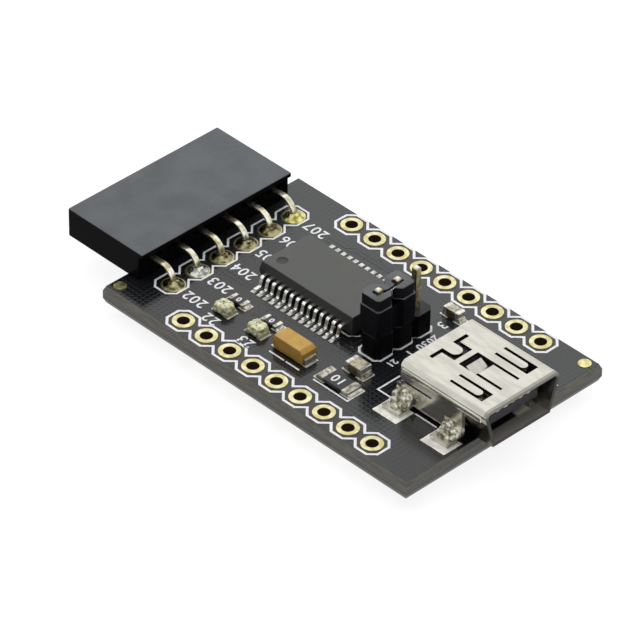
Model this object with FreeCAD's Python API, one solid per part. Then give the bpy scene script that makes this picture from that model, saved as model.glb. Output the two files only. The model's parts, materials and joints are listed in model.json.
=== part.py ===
import FreeCAD, Part
import math
import os
from FreeCAD import Vector

# USB to serial adapter module, in millimetres. The origin is the middle of the
# grid of side holes, on the underside of the board. +X points to the USB socket,
# -X to the serial header, +Z up from the parts side.

# circuit board and its side holes
hole_spacing = 2.54
holes_per_row = 9
side_hole_edge = 1.27
board_side_margin = 2.29
board_thickness = 1.6
board_front = 15.0
board_rear = 17.4
score_depth = 0.45
score_reach = 0.2
side_bore = 1.02
side_ring = 1.76
plating = 0.04
land_thickness = 0.05
fiducial_width = 1.05
fiducial_edge = 0.75

# serial header, a row of sockets that faces away from the board
header_positions = 6
header_length = 8.3
header_height = 2.5
header_side_wall = 0.25
header_overlap = 1.55
header_lip = 0.35
header_lip_height = 0.4
header_hole_edge = 3.43
header_ring = 1.86
socket_width = 0.8
socket_depth = 6.3
funnel_width = 1.5
funnel_depth = 0.45
contact_height = 1.42
contact_thickness = 0.25
contact_tail_width = 0.6
contact_fit = 0.05
fork_width = 1.6
fork_length = 5.4
fork_base = 1.3
fork_root_gap = 0.84
fork_pinch_gap = 0.52
fork_mouth_gap = 0.96
fork_pinch_back = 0.9
fork_setback = 0.9
contact_bend_radius = 1.2
tail_length = 1.1
solder_height = 0.45
solder_neck = 0.38
solder_waist = 0.87
solder_waist_height = 0.35

# jumper header, its pins, and the cap that links two of them
jumper_x = 2.5
jumper_y = 1.18
jumper_spacing = 2.0
jumper_pins = 3
jumper_base_width = 2.0
jumper_base_height = 2.0
jumper_base_corner = 0.38
jumper_pin_width = 0.5
jumper_pin_top = 5.9
jumper_pin_point = 0.14
jumper_bore = 0.86
jumper_ring = 1.4
cap_height = 3.5
cap_width = 2.0
cap_length = 3.9
cap_seat_gap = 0.05
cap_corner = 0.22
cap_foot_height = 2.5
cap_foot_step = 0.08
cap_notch_width = 1.25
cap_notch_depth = 0.62
cap_notch_floor = 0.1
cap_groove_depth = 0.3
well_length = 1.24
clip_thickness = 0.12
clip_pin_gap = 0.03
clip_wall_gap = 0.04
clip_end = 0.5
clip_leaf = 0.8
clip_bend_radius = 0.16
clip_top_drop = 0.15
clip_bottom_rise = 0.3

# USB socket
usb_length = 8.8
usb_width = 7.7
usb_height = 3.8
usb_overhang = 1.8
usb_lift = 0.3
usb_sheet = 0.3
usb_corner = 0.5
usb_mouth_length = 2.4
usb_mouth_lower_width = 6.0
usb_mouth_taper = 2.9
usb_floor_length = 2.2
usb_slit_height = 0.18
usb_slit_level = 2.0
usb_slit_length = 3.2
finger_offset = 2.36
finger_window_back = 1.33
finger_window_length = 3.35
finger_window_width = 1.22
finger_width = 0.7
finger_tip_gap = 0.6
spring_slot_width = 0.25
spring_width = 1.54
spring_slot_length = 2.47
spring_window_length = 1.85
spring_tip_gap = 0.48
spring_dip = 0.5
spring_dip_run = 0.5
spring_tip_dip = 0.04
spring_bend_radius = 0.2
latch_back = 7.8
latch_length = 1.65
latch_width = 1.9
latch_arm_width = 3.9
latch_arm_length = 0.35
latch_tongue_width = 1.1
latch_tip_gap = 0.28
tab_width = 1.8
tab_reach = 1.5
tab_bend_radius = 0.35
tab_join_height = 1.7
tab_front_back = 3.3
tab_rear_gap = 0.5
tab_land_margin = 0.38
tab_land_length = 1.95
tab_land_gap = 0.25
tab_solder_height = 1.15
tab_solder_reach = 1.1
tab_solder_hollow = 0.32
block_spring_gap = 0.45
block_fit = 0.02
block_base_width = 5.4
tongue_width = 5.0
tongue_thickness = 0.75
tongue_level = 1.6
tongue_front_gap = 0.9
peg_width = 0.9
peg_fit = 0.05
peg_spacing = 4.4
peg_back = 6.2
peg_length = 1.2
usb_contacts = 5
usb_contact_spacing = 0.8
usb_contact_width = 0.35
usb_contact_thickness = 0.15
usb_contact_front_gap = 0.03
usb_contact_drop_back = 0.3
usb_contact_foot = 1.0
usb_contact_bend = 0.2
usb_land_width = 0.5
usb_land_margin = 0.2

# converter chip
chip_x = -4.93
chip_y = 1.5
chip_length = 10.2
chip_width = 5.3
chip_thickness = 1.7
chip_standoff = 0.1
chip_draft = 0.18
chip_lead_level = 0.95
chip_dimple_width = 0.9
chip_dimple_depth = 0.08
chip_dimple_x = 1.23
chip_dimple_y = 1.3
leads_per_side = 14
lead_spacing = 0.65
lead_width = 0.3
lead_thickness = 0.15
lead_inside = 0.3
lead_shoulder = 0.45
lead_slope = 0.22
lead_reach = 1.25
lead_bend_radius = 0.14
chip_land_width = 0.38
chip_land_inner = 0.55
chip_land_outer = 0.6

# small parts: each has a place on the board, and length, width and height
tantalum_x = -1.55
tantalum_y = -5.5
tantalum_length = 3.2
tantalum_width = 1.6
tantalum_height = 1.2
tantalum_draft = 0.09
tantalum_lift = 0.03
tantalum_bevel_run = 0.4
tantalum_bevel_drop = 0.3
tantalum_belt = 0.5
tantalum_lead_width = 1.2
tantalum_lead_thickness = 0.14
tantalum_lead_out = 0.1
tantalum_lead_foot = 0.75
tantalum_lead_inside = 0.35
tantalum_bend_radius = 0.12
fuse_x = 3.4
fuse_y = -5.7
fuse_length = 3.3
fuse_width = 1.5
fuse_height = 0.35
fuse_end = 0.66
led_x = -8.87
led_y = -5.8
led_spacing = 3.6
led_length = 2.0
led_width = 1.25
led_base_height = 0.22
led_end = 0.32
led_lens_length = 1.3
led_lens_width = 1.2
led_lens_height = 0.42
led_lens_draft = 0.06
led_lens_corner = 0.4
led_lens_rounding = 0.12
led_land_margin = 0.16
resistor_y = -4.3
resistor_length = 1.6
resistor_width = 0.82
resistor_height = 0.33
resistor_end = 0.32
large_capacitor_x = 3.35
large_capacitor_y = -3.65
large_capacitor_length = 1.7
large_capacitor_width = 1.15
large_capacitor_height = 0.85
large_capacitor_end = 0.38
small_capacitor_x = 3.55
small_capacitor_y = 6.3
small_capacitor_length = 1.6
small_capacitor_width = 0.8
small_capacitor_height = 0.85
small_capacitor_end = 0.35
end_rounding = 0.07
land_margin = 0.3
land_side = 0.05
land_inner = 0.15

# how close two sizes or places are to count as the same
same = 0.000001

# sizes and places worked out from those above
header_width = header_positions * hole_spacing + 2.0 * header_side_wall
board_width = header_width + 2.0 * board_side_margin
row_spacing = board_width - 2.0 * side_hole_edge
board_top = board_thickness
land_top = board_top + land_thickness
header_rear = board_rear - header_overlap
header_hole_x = header_hole_edge - board_rear
contact_level = board_top + contact_height
jumper_base_top = land_top + jumper_base_height
cap_bottom = jumper_base_top + cap_seat_gap
cap_x = jumper_x
cap_y = jumper_y - jumper_spacing / 2.0
usb_front = board_front + usb_overhang
usb_back = usb_front - usb_length
usb_top = board_top + usb_height
usb_bottom = board_top + usb_lift
spring_root = usb_front - finger_window_back - spring_slot_length
spring_window_rear = spring_root - spring_window_length
spring_tip = spring_window_rear + spring_tip_gap
block_end = spring_tip - block_spring_gap
tongue_top = board_top + tongue_level + tongue_thickness
usb_contact_level = tongue_top + usb_contact_thickness / 2.0


def block(x0, x1, y0, y1, z0, z1):
    return Part.makeBox(x1 - x0, y1 - y0, z1 - z0, Vector(x0, y0, z0))


def centred_block(x, y, length, width, z0, z1):
    return block(x - length / 2.0, x + length / 2.0, y - width / 2.0, y + width / 2.0, z0, z1)


def rod(x, y, z0, z1, radius):
    return Part.makeCylinder(radius, z1 - z0, Vector(x, y, z0))


def prism(points, direction):
    corners = [Vector(*point) for point in points]
    return Part.Face(Part.makePolygon(corners + corners[:1])).extrude(direction)


def rectangle_wire(x, y, length, width, z):
    corners = []
    for side_x, side_y in ((-1, -1), (1, -1), (1, 1), (-1, 1)):
        corners.append(Vector(x + side_x * length / 2.0, y + side_y * width / 2.0, z))
    return Part.makePolygon(corners + corners[:1])


def turned(outline, x, y):
    # an outline of (radius, height) pairs, turned about an upright axis
    corners = [Vector(x + radius, y, height) for radius, height in outline]
    face = Part.Face(Part.makePolygon(corners + corners[:1]))
    return face.revolve(Vector(x, y, 0), Vector(0, 0, 1), 360)


def one_solid(shape):
    return shape.Solids[0]


def group(shapes):
    solids = []
    for shape in shapes:
        solids.extend(shape.Solids)
    return Part.makeCompound(solids)


# a strip of sheet, bent along a path that lies in one plane

strip_planes = {
    "xz": (Vector(1, 0, 0), Vector(0, 0, 1), Vector(0, 1, 0)),
    "yz": (Vector(0, 1, 0), Vector(0, 0, 1), Vector(1, 0, 0)),
    "xy": (Vector(1, 0, 0), Vector(0, 1, 0), Vector(0, 0, 1)),
}


def heading(start, end):
    run = math.hypot(end[0] - start[0], end[1] - start[1])
    return ((end[0] - start[0]) / run, (end[1] - start[1]) / run)


def strip_side(path, radii, shift):
    # the stops along one side of the strip: a point at each end, three at each bend
    first = heading(path[0], path[1])
    last = heading(path[-2], path[-1])
    stops = [[(path[0][0] - first[1] * shift, path[0][1] + first[0] * shift)]]
    for index, radius in enumerate(radii):
        corner = path[index + 1]
        into = heading(path[index], corner)
        away = heading(corner, path[index + 2])
        sine = into[0] * away[1] - into[1] * away[0]
        angle = math.atan2(sine, into[0] * away[0] + into[1] * away[1])
        hand = math.copysign(1.0, angle)
        reach = radius * math.tan(abs(angle) / 2.0)
        centre_x = corner[0] - into[0] * reach - into[1] * radius * hand
        centre_y = corner[1] - into[1] * reach + into[0] * radius * hand
        first_angle = math.atan2(-into[0] * hand, into[1] * hand)
        arc = []
        for share in (0.0, 0.5, 1.0):
            turned_to = first_angle + angle * share
            reach_out = radius - hand * shift
            arc.append((centre_x + reach_out * math.cos(turned_to),
                        centre_y + reach_out * math.sin(turned_to)))
        stops.append(arc)
    stops.append([(path[-1][0] - last[1] * shift, path[-1][1] + last[0] * shift)])
    return stops


def bent_strip(path, radii, thickness, width, plane):
    across, up, out = strip_planes[plane]
    left = strip_side(path, radii, thickness / 2.0)
    right = strip_side(path, radii, -thickness / 2.0)
    stops = left + [stop[::-1] for stop in right[::-1]]
    placed = []
    for stop in stops:
        placed.append([across * u + up * v - out * (width / 2.0) for u, v in stop])
    edges = []
    before = placed[-1][-1]
    for points in placed:
        edges.append(Part.makeLine(before, points[0]))
        if len(points) == 3:
            edges.append(Part.Arc(*points).toShape())
        before = points[-1]
    return Part.Face(Part.Wire(edges)).extrude(out * width)


def moved(shape, x, y, z):
    copy = shape.copy()
    copy.translate(Vector(x, y, z))
    return copy


# places of the holes

def side_row(side):
    middle = (holes_per_row - 1) / 2.0
    return [((index - middle) * hole_spacing, side * row_spacing / 2.0) for index in range(holes_per_row)]


def header_places():
    middle = (header_positions - 1) / 2.0
    return [(header_hole_x, (index - middle) * hole_spacing) for index in range(header_positions)]


def jumper_places():
    middle = (jumper_pins - 1) / 2.0
    return [(jumper_x, jumper_y + (index - middle) * jumper_spacing) for index in range(jumper_pins)]


def peg_places():
    return [(usb_front - peg_back, side * peg_spacing / 2.0) for side in (-1, 1)]


# circuit board, plated holes and flat lands

def scored_slab():
    # a board broken from its panel: the scored edges lean out to a blunt band
    half = board_width / 2.0
    rear = -board_rear
    low = score_depth
    high = board_top - score_depth
    across = [
        (-half, 0.0), (half, 0.0), (half + score_reach, low), (half + score_reach, high),
        (half, board_top), (-half, board_top), (-half - score_reach, high), (-half - score_reach, low),
    ]
    along = [
        (rear, 0.0), (board_front, 0.0), (board_front + score_reach, low), (board_front + score_reach, high),
        (board_front, board_top), (rear, board_top), (rear - score_reach, high), (rear - score_reach, low),
    ]
    start = rear - score_reach
    side = -half - score_reach
    lengthways = prism([(start, y, z) for y, z in across], Vector(board_front + score_reach - start, 0, 0))
    crossways = prism([(x, side, z) for x, z in along], Vector(0, -2.0 * side, 0))
    return lengthways.common(crossways)


def circuit_board():
    board = scored_slab()
    drills = []
    for places, bore in ((side_row(-1), side_bore), (side_row(1), side_bore),
                         (header_places(), side_bore), (jumper_places(), jumper_bore)):
        drills.extend(rod(x, y, 0.0, board_top, bore / 2.0 + plating) for x, y in places)
    drills.extend(rod(x, y, 0.0, board_top, peg_width / 2.0 + peg_fit) for x, y in peg_places())
    return one_solid(board.cut(drills))


def plated_hole(x, y, bore, ring):
    inner = bore / 2.0
    outer = ring / 2.0
    outline = [
        (inner, -land_thickness), (outer, -land_thickness), (outer, 0.0), (inner + plating, 0.0),
        (inner + plating, board_top), (outer, board_top), (outer, land_top), (inner, land_top),
    ]
    return turned(outline, x, y)


def plated_holes(places, bore, ring):
    return group([plated_hole(x, y, bore, ring) for x, y in places])


def fiducial_dots():
    radius = fiducial_width / 2.0
    edge = board_width / 2.0 - fiducial_edge
    places = [(board_front - fiducial_edge, edge), (fiducial_edge - board_rear, -edge)]
    return group([rod(x, y, board_top, land_top, radius) for x, y in places])


# serial header

def fork_outline():
    # half of the fork's outline, as (distance from its rear end, half width)
    half = fork_width / 2.0
    upper = [
        (0.0, half), (fork_length, half), (fork_length, fork_mouth_gap / 2.0),
        (fork_length - fork_pinch_back, fork_pinch_gap / 2.0), (fork_base, fork_root_gap / 2.0),
    ]
    lower = [(along, -across) for along, across in reversed(upper)]
    return upper + lower


def serial_contact(y):
    fork_rear = -header_rear - fork_setback
    flat = contact_level - contact_thickness / 2.0
    corners = [(fork_rear - along, y + across, flat) for along, across in fork_outline()]
    fork = prism(corners, Vector(0, 0, contact_thickness))
    path = [
        (fork_rear - fork_base / 2.0, contact_level),
        (header_hole_x, contact_level),
        (header_hole_x, -tail_length),
    ]
    tail = bent_strip(path, [contact_bend_radius], contact_thickness, contact_tail_width, "xz")
    return one_solid(fork.fuse(moved(tail, 0, y, 0)).removeSplitter())


def serial_header_housing():
    half_width = header_width / 2.0
    front = -header_rear - header_length
    housing = block(front, -header_rear, -half_width, half_width, board_top, board_top + header_height)
    slot_height = contact_thickness + 2.0 * contact_fit
    slot_end = -header_rear - fork_setback - fork_length - contact_fit
    half = socket_width / 2.0
    mouth_half = funnel_width / 2.0
    square = ((-1, -1), (1, -1), (1, 1), (-1, 1))
    lip_bottom = board_top + header_height - header_lip_height
    cuts = [block(-header_rear - header_lip, -header_rear, -half_width, half_width, board_top, lip_bottom)]
    for x, y in header_places():
        mouth = [Vector(front, y + a * mouth_half, contact_level + b * mouth_half) for a, b in square]
        throat = [Vector(front + funnel_depth, y + a * half, contact_level + b * half) for a, b in square]
        wires = [Part.makePolygon(corners + corners[:1]) for corners in (mouth, throat)]
        cuts.append(Part.makeLoft(wires, True, True))
        cuts.append(block(front + funnel_depth, front + socket_depth, y - half, y + half,
                          contact_level - half, contact_level + half))
        cuts.append(block(slot_end, -header_rear, y - fork_width / 2.0 - contact_fit,
                          y + fork_width / 2.0 + contact_fit,
                          contact_level - slot_height / 2.0, contact_level + slot_height / 2.0))
    return one_solid(housing.cut(cuts))


def pin_solder(x, y, bore, ring, pin):
    # solder that fills the bore and rises in a fillet on each face
    foot = ring / 2.0 - land_thickness
    inner = bore / 2.0
    neck = solder_neck
    waist = solder_waist * (neck + foot) / 2.0
    rise = solder_height * solder_waist_height
    outline = [
        (0.0, -land_thickness - solder_height), (neck, -land_thickness - solder_height),
        (waist, -land_thickness - rise), (foot, -land_thickness),
        (inner, -land_thickness), (inner, land_top), (foot, land_top),
        (waist, land_top + rise), (neck, land_top + solder_height),
        (0.0, land_top + solder_height),
    ]
    return one_solid(turned(outline, x, y).cut(pin))


# jumper header and the cap on it

def octagon(x, y, size, corner, z0, z1):
    half = size / 2.0
    flat = half - corner
    points = [(half, -flat), (half, flat), (flat, half), (-flat, half),
              (-half, flat), (-half, -flat), (-flat, -half), (flat, -half)]
    return prism([(x + a, y + b, z0) for a, b in points], Vector(0, 0, z1 - z0))


def jumper_pin(x, y):
    wide = jumper_pin_width
    narrow = jumper_pin_width - 2.0 * jumper_pin_point
    bottom = -tail_length
    top = board_top + jumper_pin_top
    shaft = centred_block(x, y, wide, wide, bottom + jumper_pin_point, top - jumper_pin_point)
    ends = []
    for inner, outer in ((bottom + jumper_pin_point, bottom), (top - jumper_pin_point, top)):
        wires = [rectangle_wire(x, y, wide, wide, inner), rectangle_wire(x, y, narrow, narrow, outer)]
        ends.append(Part.makeLoft(wires, True, True))
    return one_solid(shaft.fuse(ends).removeSplitter())


def jumper_header_base(pins):
    lobes = [octagon(x, y, jumper_base_width, jumper_base_corner, land_top, jumper_base_top)
             for x, y in jumper_places()]
    base = lobes[0].fuse(lobes[1:]).removeSplitter()
    return one_solid(base.cut(pins))


def cap_outline(width, length, notch, z):
    half = width / 2.0
    end = length / 2.0
    inner = cap_notch_width / 2.0
    waist = max(inner - notch, cap_notch_floor)
    quarter = [(half - cap_corner, end), (half, end - cap_corner), (half, inner), (half - notch, waist)]
    points = list(quarter)
    points.extend((a, -b) for a, b in reversed(quarter))
    points.extend((-a, -b) for a, b in quarter)
    points.extend((-a, b) for a, b in reversed(quarter))
    return [(cap_x + a, cap_y + b, z) for a, b in points]


def jumper_cap_housing():
    foot_top = cap_bottom + cap_foot_height
    cap_top = cap_bottom + cap_height
    foot = prism(cap_outline(cap_width + 2.0 * cap_foot_step, cap_length + 2.0 * cap_foot_step,
                             cap_groove_depth, cap_bottom), Vector(0, 0, cap_foot_height))
    upper = prism(cap_outline(cap_width, cap_length, cap_notch_depth, foot_top),
                  Vector(0, 0, cap_height - cap_foot_height))
    leaf = jumper_pin_width / 2.0 + clip_pin_gap + clip_thickness
    half_well = leaf + clip_wall_gap
    cuts = []
    for side in (-1, 1):
        y = cap_y + side * jumper_spacing / 2.0
        outer = y + side * (clip_end + clip_thickness / 2.0 + clip_wall_gap)
        inner = outer - side * well_length
        cuts.append(block(cap_x - half_well, cap_x + half_well, min(inner, outer), max(inner, outer),
                          cap_bottom, cap_top))
    bridge_inner = jumper_pin_width / 2.0
    cuts.append(block(cap_x + bridge_inner, cap_x + half_well, cap_y - jumper_spacing / 2.0,
                      cap_y + jumper_spacing / 2.0, cap_bottom, cap_top))
    return one_solid(foot.fuse(upper).cut(cuts))


def jumper_cap_clip():
    line = jumper_pin_width / 2.0 + clip_pin_gap + clip_thickness / 2.0
    far = jumper_spacing / 2.0 + clip_end
    path = [
        (-line, clip_leaf - far), (-line, -far), (line, -far),
        (line, far), (-line, far), (-line, far - clip_leaf),
    ]
    bottom = cap_bottom + clip_bottom_rise
    height = cap_height - clip_bottom_rise - clip_top_drop
    strip = bent_strip(path, [clip_bend_radius] * 4, clip_thickness, height, "xy")
    return moved(strip, cap_x, cap_y, bottom + height / 2.0)


# USB socket

def socket_face(x, half_lower, taper, bottom):
    # the outer outline of the sheet metal, seen from the front
    half = usb_width / 2.0
    corner = usb_corner
    diagonal = corner * (1.0 - math.sqrt(0.5))
    right = [(half_lower, bottom), (half, bottom + taper), (half, usb_top - corner)]
    edges = []
    start = Vector(x, -half_lower, bottom)
    edges.append(Part.makeLine(start, Vector(x, half_lower, bottom)))
    for before, after in zip(right, right[1:]):
        if before != after:
            edges.append(Part.makeLine(Vector(x, *before), Vector(x, *after)))
    edges.append(Part.Arc(Vector(x, half, usb_top - corner), Vector(x, half - diagonal, usb_top - diagonal),
                          Vector(x, half - corner, usb_top)).toShape())
    edges.append(Part.makeLine(Vector(x, half - corner, usb_top), Vector(x, corner - half, usb_top)))
    edges.append(Part.Arc(Vector(x, corner - half, usb_top), Vector(x, diagonal - half, usb_top - diagonal),
                          Vector(x, -half, usb_top - corner)).toShape())
    left = [(-half, usb_top - corner), (-half, bottom + taper), (-half_lower, bottom)]
    for before, after in zip(left, left[1:]):
        if before != after:
            edges.append(Part.makeLine(Vector(x, *before), Vector(x, *after)))
    return Part.Face(Part.Wire(edges))


def rounded_tongue(x0, x1, y, width, z0, z1):
    # a strip of sheet between x0 and x1 with a round tip at x1
    radius = width / 2.0
    strip = block(x0, x1 - radius, y - radius, y + radius, z0, z1)
    return strip.fuse(rod(x1 - radius, y, z0, z1, radius)).removeSplitter()


def socket_top_cuts():
    inner = usb_top - usb_sheet
    cuts = []
    for side in (-1, 1):
        y = side * finger_offset
        front = usb_front - finger_window_back
        window = block(front - finger_window_length, front, y - finger_window_width / 2.0,
                       y + finger_window_width / 2.0, inner, usb_top)
        finger = rounded_tongue(front - finger_window_length, front - finger_tip_gap, y,
                                finger_width, inner, usb_top)
        cuts.append(window.cut(finger))
        slot_y = side * (spring_width + spring_slot_width) / 2.0
        cuts.append(block(front - spring_slot_length, front, slot_y - spring_slot_width / 2.0,
                          slot_y + spring_slot_width / 2.0, inner, usb_top))
    half = spring_width / 2.0 + spring_slot_width
    cuts.append(block(spring_window_rear, spring_root, -half, half, inner, usb_top))
    back = usb_front - latch_back
    window = block(back, back + latch_length, -latch_width / 2.0, latch_width / 2.0, inner, usb_top)
    arms = block(back, back + latch_arm_length, -latch_arm_width / 2.0, latch_arm_width / 2.0, inner, usb_top)
    tongue_tip = back + latch_length - latch_tip_gap
    tongue = rounded_tongue(back, tongue_tip, 0.0, latch_tongue_width, inner, usb_top)
    cuts.append(window.fuse(arms).cut(tongue))
    return cuts


def socket_spring():
    # the bent end of the middle spring, which dips into the mouth
    level = usb_top - usb_sheet / 2.0
    path = [
        (spring_root + usb_sheet, level),
        (spring_root, level),
        (spring_root - spring_dip_run, level - spring_dip),
        (spring_tip, level - spring_tip_dip),
    ]
    return bent_strip(path, [spring_bend_radius] * 2, usb_sheet, spring_width, "xz")


def tab_places():
    return [(x, side) for x in (usb_front - tab_front_back, usb_back + tab_rear_gap) for side in (-1, 1)]


def socket_tab(x, side):
    wall = side * (usb_width - usb_sheet) / 2.0
    foot_level = land_top + usb_sheet / 2.0
    path = [
        (wall, board_top + tab_join_height),
        (wall, foot_level),
        (side * (usb_width / 2.0 + tab_reach), foot_level),
    ]
    return moved(bent_strip(path, [tab_bend_radius], usb_sheet, tab_width, "yz"), x, 0, 0)


def usb_socket_shell():
    half = usb_width / 2.0
    mouth_back = usb_front - usb_mouth_length
    lower = usb_mouth_lower_width / 2.0
    mouth_face = socket_face(mouth_back, lower, usb_mouth_taper, usb_bottom)
    mouth = mouth_face.extrude(Vector(usb_mouth_length, 0, 0))
    hollow = mouth_face.makeOffset2D(-usb_sheet, 2).extrude(Vector(usb_mouth_length, 0, 0))
    hood_face = socket_face(usb_back, half, 0.0, usb_bottom)
    hood = hood_face.extrude(Vector(usb_length - usb_mouth_length, 0, 0))
    hood_hollow = hood_face.makeOffset2D(-usb_sheet, 2).extrude(Vector(usb_length - usb_mouth_length, 0, 0))
    open_floor = block(usb_back, mouth_back, usb_sheet - half, half - usb_sheet,
                       usb_bottom, usb_bottom + usb_sheet)
    floor = block(mouth_back - usb_floor_length, mouth_back, usb_sheet - lower, lower - usb_sheet,
                  usb_bottom, usb_bottom + usb_sheet)
    shell = mouth.cut(hollow).fuse(hood.cut([hood_hollow, open_floor])).fuse(floor)
    slits = []
    for side in (-1, 1):
        wall = side * half
        slit_level = board_top + usb_slit_level
        slits.append(block(usb_back, usb_back + usb_slit_length, min(wall, wall - side * usb_sheet),
                           max(wall, wall - side * usb_sheet), slit_level, slit_level + usb_slit_height))
    shell = shell.cut(socket_top_cuts() + slits)
    tabs = [socket_tab(x, side) for x, side in tab_places()]
    shell = shell.fuse(tabs + [socket_spring()])
    return one_solid(shell.removeSplitter())


def usb_contact(y):
    front = usb_front - tongue_front_gap - usb_contact_front_gap
    drop = usb_back - usb_contact_drop_back
    foot_level = land_top + usb_contact_thickness / 2.0
    path = [(front, usb_contact_level), (drop, usb_contact_level), (drop, foot_level),
            (drop - usb_contact_foot, foot_level)]
    radii = [usb_contact_bend, usb_contact_bend]
    strip = bent_strip(path, radii, usb_contact_thickness, usb_contact_width, "xz")
    return moved(strip, 0, y, 0)


def usb_contact_rows():
    middle = (usb_contacts - 1) / 2.0
    return [(index - middle) * usb_contact_spacing for index in range(usb_contacts)]


def usb_socket_insulator(contacts):
    inner_half = usb_width / 2.0 - usb_sheet - block_fit
    body = block(usb_back, block_end, -inner_half, inner_half, usb_bottom + usb_sheet,
                 usb_top - usb_sheet - block_fit)
    upright = [edge for edge in body.Edges
               if abs(edge.Length - block_end + usb_back) < same and edge.CenterOfMass.z > tongue_top]
    body = body.makeFillet(usb_corner - usb_sheet + block_fit, upright)
    base = block(usb_back, block_end, -block_base_width / 2.0, block_base_width / 2.0,
                 board_top, usb_bottom + usb_sheet)
    tongue = block(usb_back, usb_front - tongue_front_gap, -tongue_width / 2.0, tongue_width / 2.0,
                   tongue_top - tongue_thickness, tongue_top)
    pegs = [rod(x, y, board_top - peg_length, board_top, peg_width / 2.0) for x, y in peg_places()]
    return one_solid(body.fuse([base, tongue] + pegs).removeSplitter().cut(contacts))


def tab_solder(x, side):
    # a fillet of solder between the side wall and the tab's foot
    wall = side * usb_width / 2.0
    foot = land_top + usb_sheet
    length = tab_width
    top = foot + tab_solder_height
    out = wall + side * tab_solder_reach
    start = x - length / 2.0
    hollow_y = wall + side * tab_solder_reach * tab_solder_hollow
    hollow_z = foot + tab_solder_height * tab_solder_hollow
    inner = Vector(start, wall, foot)
    toe = Vector(start, out, foot)
    crest = Vector(start, wall, top)
    hollow = Part.Arc(toe, Vector(start, hollow_y, hollow_z), crest).toShape()
    edges = [Part.makeLine(inner, toe), hollow, Part.makeLine(crest, inner)]
    return Part.Face(Part.Wire(edges)).extrude(Vector(length, 0, 0))


def usb_tab_lands():
    lands = []
    for x, side in tab_places():
        near = side * (usb_width / 2.0 + tab_land_gap)
        far = near + side * tab_land_length
        half = tab_width / 2.0 + tab_land_margin
        lands.append(block(x - half, x + half, min(near, far), max(near, far), board_top, land_top))
    return group(lands)


def usb_contact_lands():
    end = usb_back - usb_contact_drop_back - usb_contact_foot - usb_land_margin
    start = usb_back - usb_land_margin
    half = usb_land_width / 2.0
    return group([block(end, start, y - half, y + half, board_top, land_top) for y in usb_contact_rows()])


# converter chip

def chip_lead(x, side):
    shoulder = chip_width / 2.0
    lead_level = board_top + chip_lead_level
    foot_level = land_top + lead_thickness / 2.0
    path = [
        (side * (shoulder - lead_inside), lead_level),
        (side * (shoulder + lead_shoulder), lead_level),
        (side * (shoulder + lead_shoulder + lead_slope), foot_level),
        (side * (shoulder + lead_reach), foot_level),
    ]
    strip = bent_strip(path, [lead_bend_radius] * 2, lead_thickness, lead_width, "yz")
    return moved(strip, x, chip_y, 0)


def lead_rows():
    middle = (leads_per_side - 1) / 2.0
    return [chip_x + (index - middle) * lead_spacing for index in range(leads_per_side)]


def converter_chip_leads(side):
    return group([chip_lead(x, side) for x in lead_rows()])


def converter_chip_body(leads):
    bottom = board_top + chip_standoff
    belt = board_top + chip_lead_level
    top = bottom + chip_thickness
    draft = 2.0 * chip_draft
    halves = []
    for level in (bottom, top):
        wires = [rectangle_wire(chip_x, chip_y, chip_length, chip_width, belt),
                 rectangle_wire(chip_x, chip_y, chip_length - draft, chip_width - draft, level)]
        halves.append(Part.makeLoft(wires, True, True))
    dimple = rod(chip_x - chip_length / 2.0 + chip_dimple_x, chip_y - chip_width / 2.0 + chip_dimple_y,
                 top - chip_dimple_depth, top, chip_dimple_width / 2.0)
    return one_solid(halves[0].fuse(halves[1]).cut([dimple] + leads))


def chip_lands():
    lands = []
    for side in (-1, 1):
        near = chip_y + side * (chip_width / 2.0 + chip_land_inner)
        far = chip_y + side * (chip_width / 2.0 + lead_reach + chip_land_outer)
        half = chip_land_width / 2.0
        for x in lead_rows():
            lands.append(block(x - half, x + half, min(near, far), max(near, far), board_top, land_top))
    return group(lands)


# small parts

def end_caps(x, y, length, width, height, end):
    caps = []
    for side in (-1, 1):
        middle = x + side * (length - end) / 2.0
        cap = centred_block(middle, y, end, width, land_top, land_top + height)
        outer = x + side * length / 2.0
        edges = [edge for edge in cap.Edges if abs(edge.CenterOfMass.x - outer) < same]
        caps.append(cap.makeFillet(end_rounding, edges))
    return group(caps)


def middle_block(x, y, length, width, height, end):
    return centred_block(x, y, length - 2.0 * end, width, land_top, land_top + height)


def part_lands(x, y, length, width, end, margin=land_margin):
    lands = []
    for side in (-1, 1):
        outer = x + side * (length / 2.0 + margin)
        inner = x + side * (length / 2.0 - end - land_inner)
        half = width / 2.0 + land_side
        lands.append(block(min(outer, inner), max(outer, inner), y - half, y + half, board_top, land_top))
    return lands


def tantalum_terminal(side):
    edge = tantalum_length / 2.0
    belt = land_top + tantalum_belt
    foot = land_top + tantalum_lead_thickness / 2.0
    out = edge + tantalum_lead_out
    path = [(side * (edge - tantalum_lead_inside), belt), (side * out, belt), (side * out, foot),
            (side * (edge - tantalum_lead_foot), foot)]
    strip = bent_strip(path, [tantalum_bend_radius] * 2, tantalum_lead_thickness, tantalum_lead_width, "xz")
    return moved(strip, tantalum_x, tantalum_y, 0)


def tantalum_body(terminals):
    # the end away from the chip is bevelled along its top edge, to mark it
    bottom = land_top + tantalum_lift
    belt = land_top + tantalum_belt
    top = land_top + tantalum_height
    length = tantalum_length
    width = tantalum_width
    draft = 2.0 * tantalum_draft
    halves = []
    for level in (bottom, top):
        wires = [rectangle_wire(tantalum_x, tantalum_y, length, width, belt),
                 rectangle_wire(tantalum_x, tantalum_y, length - draft, width - draft, level)]
        halves.append(Part.makeLoft(wires, True, True))
    end = tantalum_x + length / 2.0
    run = tantalum_bevel_run
    side = tantalum_y - width / 2.0
    corners = [(end - run, side, top), (end + run, side, top), (end + run, side, top - 2.0 * tantalum_bevel_drop)]
    bevel = prism(corners, Vector(0, width, 0))
    return one_solid(halves[0].fuse(halves[1]).cut(terminals + [bevel]))


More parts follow.
